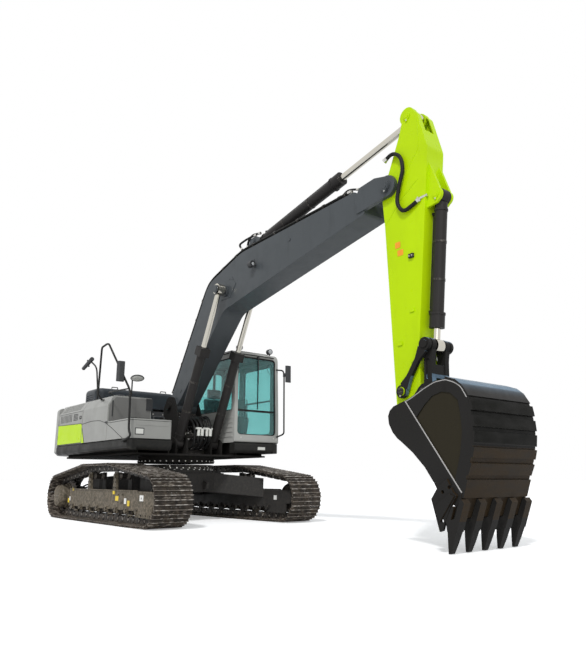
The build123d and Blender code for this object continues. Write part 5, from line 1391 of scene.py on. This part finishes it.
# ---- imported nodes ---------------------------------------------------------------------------
PLAIN_NODES = {
    "car_body": "frame_brown", "track_frame_left": "frame_brown", "track_frame_right": "frame_brown",
    "slew_ring": "cast_dark", "main_frame": "belly_black", "deck_skirts": "deck_black",
    "counterweight": "panel_grey", "pump_bay": "panel_grey", "pump_door": "panel_grey",
    "fuel_tank": "panel_grey", "cooler_bay": "panel_grey", "cooler_door": "panel_grey",
    "valve_cover": "hood_slate", "engine_block": "cast_dark", "cooling_pack": "cast_dark",
    "engine_hood": "hood_slate", "tool_box": "panel_grey", "tool_box_lid": "panel_grey",
    "swing_motor": "cast_dark", "control_valve": "cast_dark", "cab_shell": "cab_grey_painted_lighter",
    "cab_glass": "cab_glass", "cab_door": "cab_grey_painted_lighter", "cab_door_glass": "cab_glass",
    "cab_lamps": "moulded_plastic", "boom": "boom_slate", "boom_lamp": "moulded_plastic",
    "boom_cylinder_barrels": "cylinder_paint", "boom_cylinder_rods": "rod_chrome",
    "stick_cylinder_barrel": "cylinder_paint", "stick_cylinder_rod": "rod_chrome",
    "stick": "stick_green", "bucket_cylinder_barrel": "cylinder_paint",
    "bucket_cylinder_rod": "rod_chrome", "rocker_links": "bucket_black",
    "bucket_link": "bucket_black", "bucket": "bucket_black", "bucket_teeth": "bucket_black",
    "side_cutters": "bucket_black",
}


class EXCAVATOR_OT_plain_nodes(bpy.types.Operator):
    """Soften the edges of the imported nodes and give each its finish"""

    bl_idname = "excavator.plain_nodes"
    bl_label = "Packed nodes"

    def execute(self, context):
        for node, finish in PLAIN_NODES.items():
            dressed(node, finish, soft=0 if "glass" in node else 4)
        return {"FINISHED"}


# ---- stage ----------------------------------------------------------------------------------
CAMERA_PLACE = (8.243, -5.533, 0.685)
CAMERA_YAW, CAMERA_PITCH = 38.73, 13.1
CAMERA_LENS = 33.94
FLOOR_RADIUS = 160
FLOOR_GLOW = 0.3
SKY_COLOUR, SKY_STRENGTH = (0.93, 0.96, 1.0, 1), 0.58
LAMPS = (  # name, where the light comes from, strength, apparent size in degrees
    ("key_sun", (0.42, -0.6, 0.8), 1.8, 6),
    ("fill_sun", (0.7, -0.5, 0.3), 0.6, 40),
)


class EXCAVATOR_OT_stage(bpy.types.Operator):
    """Pale floor, white background, soft light and the camera"""

    bl_idname = "excavator.stage"
    bl_label = "Stage"

    def execute(self, context):
        scene = context.scene
        scene.view_settings.view_transform = "Standard"
        self.camera(scene)
        self.floor(scene)
        self.world(scene)
        self.lamps(scene)
        return {"FINISHED"}

    def camera(self, scene):
        data = bpy.data.cameras.new("camera")
        data.lens = CAMERA_LENS
        data.sensor_width = 36
        data.clip_end = 400
        camera = bpy.data.objects.new("camera", data)
        yaw, pitch = math.radians(CAMERA_YAW), math.radians(CAMERA_PITCH)
        look = Vector((-math.cos(yaw) * math.cos(pitch), math.sin(yaw) * math.cos(pitch),
                       math.sin(pitch)))
        turn = look.to_track_quat("-Z", "Y").to_matrix().to_4x4()
        camera.matrix_world = Matrix.Translation(CAMERA_PLACE) @ turn
        scene.collection.objects.link(camera)
        scene.camera = camera

    def floor(self, scene):
        mesh = bmesh.new()
        bmesh.ops.create_circle(mesh, cap_ends=True, segments=96, radius=FLOOR_RADIUS)
        data = bpy.data.meshes.new("floor")
        mesh.to_mesh(data)
        mesh.free()
        floor = bpy.data.objects.new("floor", data)
        scene.collection.objects.link(floor)
        finish = Finish("floor_white", (0.93, 0.93, 0.93), 0.9)
        finish.tinted(finish.remap(finish.noise(0.3, 2), 0.3, 0.8, 0, 0.03), (0.85, 0.85, 0.85))
        finish.shader.inputs["Emission Color"].default_value = (1, 1, 1, 1)
        seen = finish.node("ShaderNodeLightPath").outputs["Is Camera Ray"]
        finish.link(finish.maths("MULTIPLY", seen, FLOOR_GLOW), finish.shader.inputs["Emission Strength"])
        data.materials.append(finish.material)

    def world(self, scene):
        world = bpy.data.worlds.new("studio")
        scene.world = world
        world.use_nodes = True
        tree = world.node_tree
        lit = tree.nodes["Background"]
        lit.inputs["Color"].default_value = SKY_COLOUR
        lit.inputs["Strength"].default_value = SKY_STRENGTH
        seen = tree.nodes.new("ShaderNodeBackground")
        seen.inputs["Color"].default_value = (1, 1, 1, 1)
        seen.inputs["Strength"].default_value = 1.0
        path = tree.nodes.new("ShaderNodeLightPath")
        rays = path.outputs["Is Camera Ray"]
        for name in ("Is Glossy Ray", "Is Transmission Ray"):
            either = tree.nodes.new("ShaderNodeMath")
            either.operation = "MAXIMUM"
            tree.links.new(rays, either.inputs[0])
            tree.links.new(path.outputs[name], either.inputs[1])
            rays = either.outputs["Value"]
        mix = tree.nodes.new("ShaderNodeMixShader")
        tree.links.new(rays, mix.inputs["Fac"])
        tree.links.new(lit.outputs["Background"], mix.inputs[1])
        tree.links.new(seen.outputs["Background"], mix.inputs[2])
        tree.links.new(mix.outputs["Shader"], tree.nodes["World Output"].inputs["Surface"])

    def lamps(self, scene):
        for name, source, strength, size in LAMPS:
            data = bpy.data.lights.new(name, "SUN")
            data.energy = strength
            data.angle = math.radians(size)
            lamp = bpy.data.objects.new(name, data)
            lamp.matrix_world = turn_towards(source)
            scene.collection.objects.link(lamp)


class EXCAVATOR_PT_panel(bpy.types.Panel):
    """Lists the steps that finish the excavator"""

    bl_idname = "EXCAVATOR_PT_panel"
    bl_label = "Crawler excavator"
    bl_space_type = "VIEW_3D"
    bl_region_type = "UI"
    bl_category = "Excavator"

    def draw(self, context):
        for name in ExcavatorSettings.__annotations__:
            self.layout.prop(context.scene.excavator, name)
        for step in STEPS:
            self.layout.operator(step.bl_idname)


STEPS = (
    EXCAVATOR_OT_finishes, EXCAVATOR_OT_plain_nodes, EXCAVATOR_OT_tracks, EXCAVATOR_OT_track_wheels,
    EXCAVATOR_OT_track_frames, EXCAVATOR_OT_ring, EXCAVATOR_OT_side_trim, EXCAVATOR_OT_deck,
    EXCAVATOR_OT_rails, EXCAVATOR_OT_main_hoses, EXCAVATOR_OT_cab_trim, EXCAVATOR_OT_cab_inside,
    EXCAVATOR_OT_boom_fittings, EXCAVATOR_OT_cylinders, EXCAVATOR_OT_stick_fittings,
    EXCAVATOR_OT_bucket_trim, EXCAVATOR_OT_stage,
)
CLASSES = (ExcavatorSettings, *STEPS, EXCAVATOR_PT_panel)


def register():
    for cls in CLASSES:
        bpy.utils.register_class(cls)
    bpy.types.Scene.excavator = bpy.props.PointerProperty(type=ExcavatorSettings)


def unregister():
    del bpy.types.Scene.excavator
    for cls in reversed(CLASSES):
        bpy.utils.unregister_class(cls)


def main():
    register()
    for step in STEPS:
        getattr(bpy.ops.excavator, step.bl_idname.split(".")[1])()


if __name__ == "__main__":
    main()
